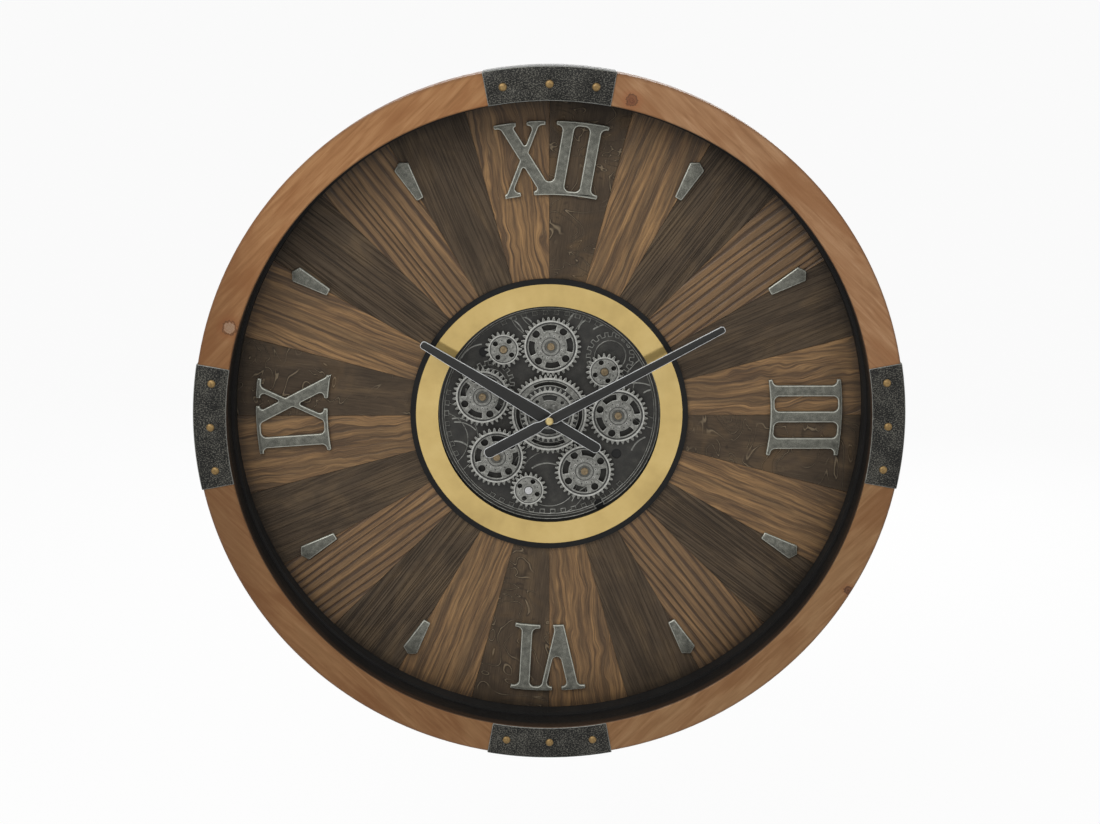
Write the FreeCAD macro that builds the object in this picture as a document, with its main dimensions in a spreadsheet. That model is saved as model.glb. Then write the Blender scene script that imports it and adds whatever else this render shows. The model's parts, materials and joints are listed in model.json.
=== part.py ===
import FreeCAD, Part
import Sketcher
import math
import os
import re

# Wall clock with an open train of turning gears, 600 mm across, in millimetres.
# Every piece is drawn face up: X to the right, Y up the dial, Z the height above the wall.
# seat() then stands it on the wall, with the front facing -Y and +Z up.
# The origin is the hanging hole, on the wall face of the back ring.

SIZES = {
    # Wooden front ring, made of four arcs
    "ring_outer_radius": 300,
    "ring_width": 27,
    "ring_depth": 28,
    "ring_edge_bevel": 1.2,
    # Black back ring that carries the dial
    "case_step": 11,
    "case_lip": 2.5,
    "case_depth": 50,
    "ledge_width": 12.5,
    "ledge_thickness": 8,
    # Steel straps over the joints of the front ring, and their brass nails
    "strap_thickness": 1,
    "strap_half_angle": 10.5,
    "strap_wrap": 26,
    "nail_angle": 7.6,
    "nail_head_radius": 3.4,
    "nail_head_height": 1.8,
    "nail_shank_radius": 1.1,
    "nail_length": 12,
    # Dial board and the veneer staves on it
    "dial_setback": 41.5,
    "board_thickness": 6,
    "stave_thickness": 1.2,
    "stave_count": 24,
    "stave_joint_angle": 0.05,
    # Raised numerals and hour bars
    "numeral_margin": 17,
    "numeral_height": 62,
    "numeral_thickness": 3.5,
    "numeral_stroke": 9.6,
    "numeral_hairline": 4.2,
    "numeral_serif": 3.6,
    "numeral_easing": 4.4,
    "crossing_easing": 1.4,
    "easing_share": 0.85,
    "bar_margin": 18.1,
    "bar_length": 35.4,
    "bar_width": 13.8,
    "bar_inner_width": 6.4,
    "bar_point": 4.2,
    "bar_thickness": 3,
    # Window bezel and the gold mirror ring in it, as widths outward from the bezel's bore
    "window_margin": 10.3,
    "bezel_wall": 2.5,
    "bezel_seat_width": 15.8,
    "bezel_width": 23.9,
    "bezel_rim_width": 4.7,
    "bezel_floor_height": 0.8,
    "bezel_rim_height": 2.3,
    "bezel_floor_drop": 2,
    "bezel_boss_radius": 3.6,
    "bezel_boss_inset": 8.8,
    "bezel_boss_count": 4,
    "bezel_screw_bite": 5,
    "mirror_thickness": 1.2,
    # Module plate, the spacer between it and the board, and the relief plate on it
    "plate_lap": 7,
    "plate_thickness": 3,
    "plate_setback": 10,
    "spacer_width": 6,
    "relief_thickness": 1.2,
    "relief_step": 1,
    "relief_strap_step": 0.5,
    "relief_block_step": 0.75,
    "relief_sink": 0.5,
    "relief_rim_width": 4.6,
    "relief_block_pitch": 6,
    "relief_block_width": 4,
    "relief_block_length": 3.4,
    "relief_strap_width": 9,
    "relief_strap_radius": 34,
    "relief_wheel_radius": 17,
    "relief_wheel_teeth": 18,
    "relief_tooth_length": 3.6,
    "relief_tooth_width": 3,
    "relief_hole_radius": 4.5,
    "sleeve_radius": 4.4,
    "pin_radius": 2,
    "pin_head_radius": 3.3,
    "pin_head_height": 1.5,
    # Gears: five large, three small, and the double centre gear
    "gear_setback": 3,
    "gear_thickness": 2.6,
    "gear_hub_rise": 0.5,
    "hub_recess_radius": 5.3,
    "hub_recess_depth": 0.8,
    "tooth_height": 3.3,
    "tooth_foot_width": 2.9,
    "tooth_tip_width": 1.1,
    "tooth_root_sink": 0.5,
    "large_teeth": 34,
    "large_tip_radius": 26,
    "large_hub_radius": 12.9,
    "large_slot_inner_radius": 13.7,
    "large_slot_outer_radius": 19.4,
    "large_slot_angle": 44,
    "large_hole_radius": 2.9,
    "small_teeth": 20,
    "small_tip_radius": 16.1,
    "small_hub_radius": 5.9,
    "small_hole_circle": 8.5,
    "small_hole_radius": 2.2,
    "centre_teeth": 48,
    "centre_tip_radius": 35.4,
    "centre_slot_inner_radius": 25.6,
    "centre_slot_outer_radius": 28.8,
    "centre_slot_angle": 62,
    "upper_teeth": 32,
    "upper_tip_radius": 24.6,
    "upper_thickness": 2,
    "upper_slot_inner_radius": 12,
    "upper_slot_outer_radius": 18,
    "upper_slot_angle": 50,
    "upper_hub_radius": 9,
    "upper_hub_rise": 0.8,
    "spoke_count": 4,
    "centre_clockwise": 2.1,
    # How deep the teeth mesh, and which way each axle lies, clockwise from straight up
    "large_mesh_depth": 1.5,
    "small_mesh_depth": 1.2,
    "top_clockwise": 1.4,
    "right_clockwise": 91.4,
    "lower_right_clockwise": 149,
    "lower_left_clockwise": 230,
    "left_clockwise": 285,
    "upper_left_clockwise": 266.5,
    "upper_right_clockwise": 342.8,
    "drive_clockwise": 137.2,
    # Hands, their bush, tube, arbor and cap
    "bush_radius": 4,
    "bush_rise": 3,
    "nut_across": 12,
    "nut_height": 2,
    "hour_tube_radius": 2.6,
    "minute_arbor_radius": 1.5,
    "hand_thickness": 2,
    "hand_setback": 20,
    "hand_gap": 1.2,
    "hub_disc_radius": 10.5,
    "hour_root_width": 12.8,
    "hour_tip_width": 7,
    "minute_root_width": 9.4,
    "minute_tip_width": 6.2,
    "hand_tail_width": 9.8,
    "hand_corner_radius": 2.4,
    "minute_length": 169,
    "minute_tail": 63,
    "minute_clockwise": 61.6,
    "hour_length": 128,
    "hour_tail": 51,
    "hour_clockwise": 301.6,
    "cap_radius": 3.4,
    "cap_height": 2.4,
    "cap_bevel": 0.8,
    # Quartz movement behind the module
    "movement_width": 56,
    "movement_thickness": 17,
    "movement_bay_drop": 17,
    "knob_radius": 6.5,
    "knob_thickness": 3.2,
    "knob_rise": 1,
    "knob_up": 14,
    "knob_stem_radius": 1.5,
    "knob_stem_length": 4,
    # Gear drive behind the module, with its cells, lid and switch
    "drive_width": 92,
    "drive_height": 62,
    "drive_thickness": 19,
    "drive_right": 4,
    "drive_up": -66.5,
    "drive_wall": 1.6,
    "drive_shaft_bite": 6,
    "cell_radius": 7.1,
    "cell_length": 50,
    "cell_nub_radius": 2.7,
    "cell_nub_length": 1.2,
    "contact_thickness": 0.6,
    "contact_width": 9,
    "lid_thickness": 1.4,
    "lid_margin": 1.5,
    "lid_grip_width": 12,
    "lid_grip_depth": 0.4,
    "lid_face_thickness": 0.7,
    "lid_tongue": 1.2,
    "switch_right": -24,
    "switch_drop": 20,
    "switch_length": 6.4,
    "switch_width": 3.8,
    "switch_depth": 1.6,
    "switch_flange": 1,
    "switch_flange_thickness": 1.2,
    "switch_travel": 4,
    "switch_rise": 1.2,
    "drive_screw_inset": 5,
    "drive_screw_floor": 6,
    "drive_screw_bite": 2.6,
    # Hanging plate let into the back ring, and the wood screws
    "hanger_width": 50,
    "hanger_height": 13,
    "hanger_thickness": 1.5,
    "hanger_hole_radius": 4,
    "hanger_pocket_radius": 6,
    "hanger_pocket_depth": 14,
    "hanger_screw_spacing": 36,
    "hanger_screw_bite": 10,
    "screw_radius": 1.5,
    "screw_head_radius": 3.4,
    "screw_head_height": 1.8,
    "frame_screw_count": 8,
    "frame_screw_bite": 16,
    "frame_screw_seat": 16,
    "board_screw_count": 8,
    "board_screw_bite": 4.6,
    # Clearances, and the overrun of every cut
    "press_gap": 0.02,
    "running_gap": 0.05,
    "fit_gap": 0.1,
    "side_gap": 0.3,
    "cut_overrun": 1,
}

# Heights above the wall, worked out from the sizes
FRONT = "(case_depth + ring_depth)"
DIAL = "(%s - dial_setback)" % FRONT
BOARD_FRONT = "(%s - stave_thickness)" % DIAL
BOARD_BACK = "(%s - board_thickness)" % BOARD_FRONT
BEZEL_FLOOR = "(%s + bezel_floor_height)" % DIAL
BEZEL_UNDER = "(%s - bezel_floor_drop)" % DIAL
PLATE_FRONT = "(%s - plate_setback)" % DIAL
PLATE_BACK = "(%s - plate_thickness)" % PLATE_FRONT
RELIEF_FRONT = "(%s + relief_thickness)" % PLATE_FRONT
GEAR_FRONT = "(%s - gear_setback)" % DIAL
GEAR_BACK = "(%s - gear_thickness)" % GEAR_FRONT
SLEEVE_FRONT = "(%s - side_gap)" % GEAR_BACK
RECESS_FLOOR = "(%s - hub_recess_depth)" % GEAR_FRONT
UPPER_FRONT = "(%s + upper_thickness)" % GEAR_FRONT
UPPER_HUB = "(%s + upper_hub_rise)" % UPPER_FRONT
NUT_BACK = "(%s + side_gap)" % UPPER_HUB
BUSH_FRONT = "(%s + bush_rise)" % UPPER_HUB
MINUTE_FRONT = "(%s - hand_setback)" % FRONT
MINUTE_BACK = "(%s - hand_thickness)" % MINUTE_FRONT
HOUR_FRONT = "(%s - hand_gap)" % MINUTE_BACK
HOUR_BACK = "(%s - hand_thickness)" % HOUR_FRONT
MOVEMENT_BACK = "(%s - movement_thickness)" % PLATE_BACK
DRIVE_BACK = "(%s - drive_thickness)" % PLATE_BACK
LID_FRONT = "(%s + lid_thickness + side_gap)" % DRIVE_BACK

# Radii and lengths worked out from the sizes
RING_INNER_RADIUS = "(ring_outer_radius - ring_width)"
RING_MID_RADIUS = "(ring_outer_radius - ring_width / 2)"
CASE_OUTER_RADIUS = "(ring_outer_radius - case_step)"
CASE_INNER_RADIUS = "(%s - case_lip)" % RING_INNER_RADIUS
CASE_MID_RADIUS = "((%s + %s) / 2)" % (CASE_OUTER_RADIUS, CASE_INNER_RADIUS)
LEDGE_RADIUS = "(%s - ledge_width)" % CASE_INNER_RADIUS
LEDGE_MID_RADIUS = "(%s - ledge_width / 2)" % CASE_INNER_RADIUS
BOARD_RADIUS = "(%s - side_gap)" % CASE_INNER_RADIUS
NUMERAL_OUTER_RADIUS = "(%s - numeral_margin)" % CASE_INNER_RADIUS
NUMERAL_INNER_RADIUS = "(%s - numeral_height)" % NUMERAL_OUTER_RADIUS
NUMERAL_MIDDLE_RADIUS = "(%s - numeral_height / 2)" % NUMERAL_OUTER_RADIUS
BAR_OUTER_RADIUS = "(%s - bar_margin)" % CASE_INNER_RADIUS
SCREW_HOLE = "(screw_radius + fit_gap)"
BAY_LENGTH = "(cell_length + cell_nub_length + 2 * contact_thickness + 2 * fit_gap)"
BAY_DEPTH = "(2 * cell_radius + 2 * fit_gap)"
LARGE_MESH = "(centre_tip_radius + large_tip_radius - large_mesh_depth)"
SMALL_MESH = "(large_tip_radius + small_tip_radius - small_mesh_depth)"
BORE_RADIUS = "(%s + large_tip_radius + window_margin)" % LARGE_MESH
WINDOW_RADIUS = "(%s + bezel_seat_width)" % BORE_RADIUS
LIP_RADIUS = "(%s + bezel_width)" % BORE_RADIUS
MIRROR_SEAT = "(%s - bezel_rim_width)" % LIP_RADIUS
BOSS_CIRCLE = "(%s + bezel_boss_inset)" % BORE_RADIUS
PLATE_RADIUS = "(%s + plate_lap)" % WINDOW_RADIUS

# Outer gears: the gear that each one meshes with, and the angle that its first slot
# or hole has turned clockwise from straight up
LARGE_GEARS = {
    "top": ("centre", -2.6),
    "right": ("centre", 67.1),
    "lower_right": ("centre", 9.3),
    "lower_left": ("centre", 8.5),
    "left": ("centre", 24.5),
}
SMALL_GEARS = {
    "upper_left": ("top", 32.7),
    "upper_right": ("right", 64.2),
    "drive": ("lower_left", 31.3),
}

doc = FreeCAD.newDocument("gear_clock")
sheet = doc.addObject("Spreadsheet::Sheet", "sizes")
for row, (alias, value) in enumerate(SIZES.items(), start=1):
    sheet.set("A%d" % row, alias)
    sheet.set("B%d" % row, str(value))
    sheet.setAlias("B%d" % row, alias)
doc.recompute()

pieces = {}


def bound(text):
    """An expression with each size in it pointed at the sheet."""
    def point(found):
        word = found.group()
        return "sizes." + word if word in SIZES else word
    return re.sub(r"[a-z][a-z_]+", point, text)


def number(text):
    """The value of an expression in the sheet's sizes."""
    return float(sheet.evalExpression(bound(text)))


def drive(item, target, text):
    """Bind one property of an object to an expression."""
    item.setExpression(target, bound(text))


def seat(label, item, right="0", up="0", turn=0.0):
    """Stand a face-up piece on the wall, at its place on the dial, and keep it for export."""
    item.Label = label
    base = FreeCAD.Vector(number(right), 0, number(up) - number(CASE_MID_RADIUS))
    upright = FreeCAD.Rotation(FreeCAD.Vector(1, 0, 0), 90)
    spin = FreeCAD.Rotation(FreeCAD.Vector(0, 0, 1), turn)
    item.Placement = FreeCAD.Placement(base, upright.multiply(spin))
    pieces[label] = item


def new_body(label):
    body = doc.addObject("PartDesign::Body", label)
    body.Label = label
    return body


def sketch_on(body, name, height="0", role="XY_Plane"):
    """A sketch on one of the body's own origin planes, raised to a height."""
    sketch = body.newObject("Sketcher::SketchObject", "%s_%s" % (body.Name, name))
    plane = next(item for item in body.Origin.OriginFeatures if item.Role == role)
    sketch.AttachmentSupport = [(plane, "")]
    sketch.MapMode = "FlatFace"
    if height != "0":
        drive(sketch, ".AttachmentOffset.Base.z", height)
    return sketch


def hold_point(sketch, curve, point, across, along):
    """Tie a sketch point to its two coordinates."""
    for kind, axis, text in (("DistanceX", -2, across), ("DistanceY", -1, along)):
        if text == "0":
            sketch.addConstraint(Sketcher.Constraint("PointOnObject", curve, point, axis))
            continue
        item = sketch.addConstraint(Sketcher.Constraint(kind, curve, point, number(text)))
        name = "%s_%d_%d" % (kind, curve, point)
        sketch.renameConstraint(item, name)
        drive(sketch, "Constraints." + name, text)


def add_circle(sketch, radius, across="0", along="0"):
    centre = FreeCAD.Vector(number(across), number(along), 0)
    circle = Part.Circle(centre, FreeCAD.Vector(0, 0, 1), number(radius))
    curve = sketch.addGeometry(circle, False)
    hold_point(sketch, curve, 3, across, along)
    item = sketch.addConstraint(Sketcher.Constraint("Radius", curve, number(radius)))
    name = "radius_%d" % curve
    sketch.renameConstraint(item, name)
    drive(sketch, "Constraints." + name, radius)


def add_polygon(sketch, points):
    """A closed outline of straight lines through points given as expressions."""
    places = [FreeCAD.Vector(number(across), number(along), 0) for across, along in points]
    curves = []
    for start, end in zip(places, places[1:] + places[:1]):
        curves.append(sketch.addGeometry(Part.LineSegment(start, end), False))
    for curve, following in zip(curves, curves[1:] + curves[:1]):
        sketch.addConstraint(Sketcher.Constraint("Coincident", curve, 2, following, 1))
    for curve, (across, along) in zip(curves, points):
        hold_point(sketch, curve, 1, across, along)


def add_box(sketch, left, low, right, high):
    add_polygon(sketch, [(left, low), (right, low), (right, high), (left, high)])


def add_centred_box(sketch, width, height, across="0", along="0"):
    add_box(sketch, "%s - (%s) / 2" % (across, width), "%s - (%s) / 2" % (along, height),
            "%s + (%s) / 2" % (across, width), "%s + (%s) / 2" % (along, height))


def add_feature(body, kind, sketch):
    feature = body.newObject("PartDesign::" + kind, "%s_%s" % (sketch.Name, kind.lower()))
    feature.Profile = sketch
    return feature


def pad(body, sketch, length):
    feature = add_feature(body, "Pad", sketch)
    drive(feature, "Length", length)
    return feature


def pocket(body, sketch, length, outward=False):
    """A cut from the sketch towards the wall, or outward, away from it."""
    feature = add_feature(body, "Pocket", sketch)
    feature.Reversed = outward
    drive(feature, "Length", length)
    return feature


def turned(body, name, outline, sweep="360", kind="Revolution"):
    """A ring, or a sector of one, turned about the axis from (radius, height) points."""
    sketch = sketch_on(body, name, role="XZ_Plane")
    add_polygon(sketch, outline)
    feature = add_feature(body, kind, sketch)
    feature.ReferenceAxis = (sketch, ["V_Axis"])
    feature.Midplane = sweep != "360"
    drive(feature, "Angle", sweep)
    return feature


def repeated(body, features, sketch, count):
    """Repeat features about the body's axis."""
    pattern = body.newObject("PartDesign::PolarPattern", sketch.Name + "_pattern")
    pattern.Originals = features
    pattern.Axis = (sketch, ["N_Axis"])
    pattern.Angle = 360
    drive(pattern, "Occurrences", count)
    body.Tip = pattern


def hole_ring(body, name, radius, bottom, depth, circle, count, turn):
    """A ring of round holes cut from a height above the wall outward."""
    sketch = sketch_on(body, name, bottom)
    add_circle(sketch, radius, "%s * cos(%s)" % (circle, turn), "%s * sin(%s)" % (circle, turn))
    cut = pocket(body, sketch, depth, outward=True)
    repeated(body, [cut], sketch, count)


def ring_body(label, outer, inner, bottom, thickness):
    body = new_body(label)
    sketch = sketch_on(body, "ring", bottom)
    add_circle(sketch, outer)
    add_circle(sketch, inner)
    pad(body, sketch, thickness)
    return body


def group(label, solids):
    """One node of solids made by this script's own functions."""
    item = doc.addObject("Part::Feature", label)
    item.Shape = Part.makeCompound(solids)
    seat(label, item)


def solid_cylinder(radius, height, bottom, right=0.0, up=0.0):
    base = FreeCAD.Vector(right, up, number(bottom))
    return Part.makeCylinder(number(radius), number(height), base)


def on_circle(radius, angle):
    """A point of the dial at an angle, counted from 3 o'clock towards 12."""
    return radius * math.cos(math.radians(angle)), radius * math.sin(math.radians(angle))


def spun(shape, angle):
    """A copy of a shape turned about the clock's axis."""
    copy = shape.copy()
    copy.rotate(FreeCAD.Vector(0, 0, 0), FreeCAD.Vector(0, 0, 1), angle)
    return copy


def screw(seat_height, shank, right, up):
    """A screw driven from the back: a pan head below its seat and a plain shank above it."""
    head = solid_cylinder("screw_head_radius", "screw_head_height",
                          "%s - screw_head_height" % seat_height, right, up)
    body = solid_cylinder("screw_radius", shank, seat_height, right, up)
    return head.fuse(body).removeSplitter()


def screw_ring(label, seat_height, shank, circle, count, turn):
    """Screws on a circle about the clock's axis, as one node."""
    screws = []
    for place in range(int(number(count))):
        right, up = on_circle(number(circle), number(turn) + place * 360 / number(count))
        screws.append(screw(seat_height, shank, right, up))
    group(label, screws)


def front_ring():
    """Four wooden arcs, butted under the straps, with holes for nails and screws."""
    arc = new_body("frame_arc")
    bevel = "ring_edge_bevel"
    turned(arc, "section", [
        (RING_INNER_RADIUS, "case_depth"), ("ring_outer_radius", "case_depth"),
        ("ring_outer_radius", "%s - %s" % (FRONT, bevel)), ("ring_outer_radius - " + bevel, FRONT),
        ("%s + %s" % (RING_INNER_RADIUS, bevel), FRONT),
        (RING_INNER_RADIUS, "%s - %s" % (FRONT, bevel)),
    ], sweep="90")
    nails = sketch_on(arc, "nails", FRONT)
    for angle in ("-45", "-(45 - nail_angle)", "45 - nail_angle", "45"):
        add_circle(nails, "nail_shank_radius + fit_gap",
                   "%s * cos(%s)" % (RING_MID_RADIUS, angle), "%s * sin(%s)" % (RING_MID_RADIUS, angle))
    pocket(arc, nails, "nail_length + fit_gap")
    screws = sketch_on(arc, "screws", "case_depth")
    per_arc = int(number("frame_screw_count / 4"))
    for place in range(per_arc):
        angle = "(%s * 360 / frame_screw_count)" % (place - (per_arc - 1) / 2)
        add_circle(screws, SCREW_HOLE,
                   "%s * cos(%s)" % (CASE_MID_RADIUS, angle), "%s * sin(%s)" % (CASE_MID_RADIUS, angle))
    pocket(arc, screws, "frame_screw_bite + fit_gap", outward=True)
    doc.recompute()
    for place, name in enumerate(("upper_right", "upper_left", "lower_left", "lower_right")):
        group("frame_arc_" + name, [spun(arc.Shape, 45 + 90 * place)])


def straps():
    """Bent steel straps over the four joints, each held by three brass nails."""
    strap = new_body("strap")
    over = "(%s + strap_thickness)" % FRONT
    side = "(ring_outer_radius + strap_thickness)"
    turned(strap, "section", [
        (RING_INNER_RADIUS, FRONT), ("ring_outer_radius", FRONT),
        ("ring_outer_radius", "%s - strap_wrap" % FRONT), (side, "%s - strap_wrap" % FRONT),
        (side, over), (RING_INNER_RADIUS, over),
    ], sweep="2 * strap_half_angle")
    holes = sketch_on(strap, "nails", over)
    for angle in ("-nail_angle", "0", "nail_angle"):
        add_circle(holes, "nail_shank_radius + fit_gap",
                   "%s * cos(%s)" % (RING_MID_RADIUS, angle),
                   "0" if angle == "0" else "%s * sin(%s)" % (RING_MID_RADIUS, angle))
    pocket(strap, holes, "strap_thickness + cut_overrun")

    nail = new_body("nail")
    crown = "(%s + nail_head_height)" % over
    turned(nail, "section", [
        ("0", "%s - nail_length" % FRONT), ("nail_shank_radius", "%s - nail_length" % FRONT),
        ("nail_shank_radius", over), ("nail_head_radius", over),
        ("nail_head_radius * 3 / 4", "%s - nail_head_height / 4" % crown), ("0", crown),
    ])
    doc.recompute()
    nails = []
    for place, hour in enumerate((3, 12, 9, 6)):
        group("strap_%d" % hour, [spun(strap.Shape, 90 * place)])
        for angle in (-number("nail_angle"), 0, number("nail_angle")):
            copy = nail.Shape.copy()
            right, up = on_circle(number(RING_MID_RADIUS), 90 * place + angle)
            copy.translate(FreeCAD.Vector(right, up, 0))
            nails.append(copy)
    group("strap_nails", nails)


def back_ring():
    """The black ring behind the wooden one, and the ledge glued in it for the dial board."""
    ring = ring_body("back_ring", CASE_OUTER_RADIUS, CASE_INNER_RADIUS, "0", "case_depth")
    turn = "180 / frame_screw_count"
    hole_ring(ring, "frame_screws", SCREW_HOLE, "0", "case_depth + cut_overrun",
              CASE_MID_RADIUS, "frame_screw_count", turn)
    hole_ring(ring, "frame_heads", "screw_head_radius + side_gap", "0", "case_depth - frame_screw_seat",
              CASE_MID_RADIUS, "frame_screw_count", turn)
    recess = sketch_on(ring, "hanger_recess")
    add_centred_box(recess, "hanger_width + 2 * fit_gap", "hanger_height + 2 * fit_gap", "0",
                    CASE_MID_RADIUS)
    pocket(ring, recess, "hanger_thickness", outward=True)
    head_room = sketch_on(ring, "hook_pocket")
    add_circle(head_room, "hanger_pocket_radius", "0", CASE_MID_RADIUS)
    pocket(ring, head_room, "hanger_pocket_depth", outward=True)
    pilots = sketch_on(ring, "hanger_pilots")
    for side in ("-", ""):
        add_circle(pilots, SCREW_HOLE, side + "hanger_screw_spacing / 2", CASE_MID_RADIUS)
    pocket(ring, pilots, "hanger_screw_bite + hanger_thickness + fit_gap", outward=True)
    seat("back_ring", ring)
    screw_ring("frame_screws", "(case_depth - frame_screw_seat)", "frame_screw_seat + frame_screw_bite",
               CASE_MID_RADIUS, "frame_screw_count", turn)
    ledge_back = "(%s - ledge_thickness)" % BOARD_BACK
    ledge = ring_body("board_ledge", CASE_INNER_RADIUS, LEDGE_RADIUS, ledge_back, "ledge_thickness")
    hole_ring(ledge, "board_screws", SCREW_HOLE, "%s - cut_overrun" % ledge_back,
              "ledge_thickness + 2 * cut_overrun", LEDGE_MID_RADIUS, "board_screw_count",
              "90 / board_screw_count")
    seat("board_ledge", ledge)
    screw_ring("dial_screws", ledge_back, "ledge_thickness + board_screw_bite",
               LEDGE_MID_RADIUS, "board_screw_count", "90 / board_screw_count")


def hanger():
    """A steel plate let in flush at 12 o'clock, with the hole that the wall hook enters."""
    plate = new_body("hanger_plate")
    outline = sketch_on(plate, "outline")
    add_centred_box(outline, "hanger_width", "hanger_height", "0", CASE_MID_RADIUS)
    pad(plate, outline, "hanger_thickness")
    hole = sketch_on(plate, "hole")
    add_circle(hole, "hanger_hole_radius", "0", CASE_MID_RADIUS)
    pocket(plate, hole, "hanger_thickness + cut_overrun", outward=True)
    sinks = []
    screws = []
    up = number(CASE_MID_RADIUS)
    gap = number("press_gap")
    for side in (-1, 1):
        place = FreeCAD.Vector(side * number("hanger_screw_spacing") / 2, up, 0)
        wide = number("screw_head_radius")
        narrow = number("screw_radius")
        depth = number("hanger_thickness")
        sinks.append(Part.makeCone(wide + gap, narrow + gap, depth, place))
        head = Part.makeCone(wide, narrow, depth, place)
        shank = Part.makeCylinder(narrow, number("hanger_screw_bite"), place + FreeCAD.Vector(0, 0, depth))
        screws.append(head.fuse(shank))
    doc.recompute()
    group("hanger_plate", [plate.Shape.cut(sinks)])
    group("hanger_screws", screws)


def dial():
    """The dial board on its ledge, and the veneer staves laid on it in two colours."""
    board = ring_body("dial_board", BOARD_RADIUS, WINDOW_RADIUS, BOARD_BACK, "board_thickness")
    hole_ring(board, "screws", SCREW_HOLE, BOARD_BACK, "board_screw_bite + fit_gap",
              LEDGE_MID_RADIUS, "board_screw_count", "90 / board_screw_count")
    seat("dial_board", board)
    stave = new_body("stave")
    turned(stave, "section", [
        (WINDOW_RADIUS, BOARD_FRONT), (BOARD_RADIUS, BOARD_FRONT),
        (BOARD_RADIUS, DIAL), (WINDOW_RADIUS, DIAL),
    ], sweep="360 / stave_count - 2 * stave_joint_angle")
    doc.recompute()
    count = int(number("stave_count"))
    copies = [spun(stave.Shape, 90 - (place + 0.5) * 360 / count) for place in range(count)]
    group("dark_staves", copies[0::2])
    group("light_staves", copies[1::2])


# Each numeral is read from the middle of the dial, its foot inward. Shares of the numeral's
# height, clockwise of its hour: the strokes' middles at the outer and the inner end, with
# their width, and the ends of the serifs at the outer and the inner end.
NUMERAL_SHARES = {
    "twelve": {
        "hour": 12,
        "strokes": (("numeral_stroke", -0.64, -0.015), ("numeral_hairline", -0.15, -0.54),
                    ("numeral_stroke", 0.28, 0.107), ("numeral_stroke", 0.653, 0.477)),
        "outer_serifs": ((-0.76, -0.455), (-0.31, -0.05), (0.10, 0.82)),
        "inner_serifs": ((-0.605, -0.387), (-0.21, 0.66)),
    },
    "three": {
        "hour": 3,
        "strokes": (("numeral_stroke", -0.355, -0.355), ("numeral_stroke", 0.018, 0.018),
                    ("numeral_stroke", 0.4, 0.4)),
        "outer_serifs": ((-0.525, 0.58),),
        "inner_serifs": ((-0.52, 0.58),),
    },
    "six": {
        "hour": 6,
        "strokes": (("numeral_stroke", -0.356, -0.131), ("numeral_hairline", 0.097, -0.126),
                    ("numeral_stroke", 0.37, 0.313)),
        "outer_serifs": ((-0.525, -0.177), (-0.042, 0.568)),
        "inner_serifs": ((0.126, 0.495),),
    },
    "nine": {
        "hour": 9,
        "strokes": (("numeral_stroke", -0.39, -0.32), ("numeral_stroke", -0.042, 0.478),
                    ("numeral_hairline", 0.42, -0.048)),
        "outer_serifs": ((-0.547, 0.148), (0.263, 0.547)),
        "inner_serifs": ((-0.495, 0.115), (0.26, 0.594)),
    },
}


def stroke_face(width, outer, inner):
    """A straight stroke between two places, longer than the numeral at both ends."""
    top = FreeCAD.Vector(outer, number(NUMERAL_OUTER_RADIUS), 0)
    foot = FreeCAD.Vector(inner, number(NUMERAL_INNER_RADIUS), 0)
    along = (top - foot).normalize()
    side = FreeCAD.Vector(-along.y, along.x, 0) * (width / 2)
    top += along * width
    foot -= along * width
    return Part.Face(Part.makePolygon([top + side, foot + side, foot - side, top - side, top + side]))


def band_face(outer, inner, start, end):
    """A flat band between two radii, from one angle clockwise to another, about 12 o'clock."""
    corners = []
    for radius in (outer, inner):
        corners.append([FreeCAD.Vector(*on_circle(radius, 90 - angle), 0)
                        for angle in (start, (start + end) / 2, end)])
    (far_a, far_mid, far_b), (near_a, near_mid, near_b) = corners
    edges = [Part.Arc(far_b, far_mid, far_a).toShape(), Part.LineSegment(far_a, near_a).toShape(),
             Part.Arc(near_a, near_mid, near_b).toShape(), Part.LineSegment(near_b, far_b).toShape()]
    return Part.Face(Part.Wire(edges))


def eased_corners(solid, easing):
    """A solid's inner upright edges, each with the rounding that its two walls have room for."""
    corners = []
    uses = {}
    for index, edge in enumerate(solid.Edges, start=1):
        low, high = (vertex.Point for vertex in edge.Vertexes)
        if abs(high.z - low.z) < edge.Length / 2:
            continue
        middle = (low + high) / 2
        probes = [FreeCAD.Vector(*on_circle(easing / 20, 10 + 30 * place), 0) for place in range(12)]
        if sum(solid.isInside(middle + probe, easing / 1000, True) for probe in probes) <= 6:
            continue
        walls = solid.ancestorsOfType(edge, Part.Face)
        corners.append((index, edge, middle, walls))
        for wall in walls:
            uses[wall.hashCode()] = uses.get(wall.hashCode(), 0) + 1
    eased = []
    for index, edge, middle, walls in corners:
        room = min(wall.Area / edge.Length / uses[wall.hashCode()] for wall in walls)
        ways = [wall.CenterOfMass - middle for wall in walls]
        reach = room * math.tan(ways[0].getAngle(ways[1]) / 2) * number("easing_share")
        from_rim = abs(math.hypot(middle.x, middle.y) - number(NUMERAL_MIDDLE_RADIUS))
        crossing = from_rim < number("numeral_height") / 4
        radius = min(number("crossing_easing") if crossing else easing, reach)
        eased.append((index, radius, radius))
    return eased


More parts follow.
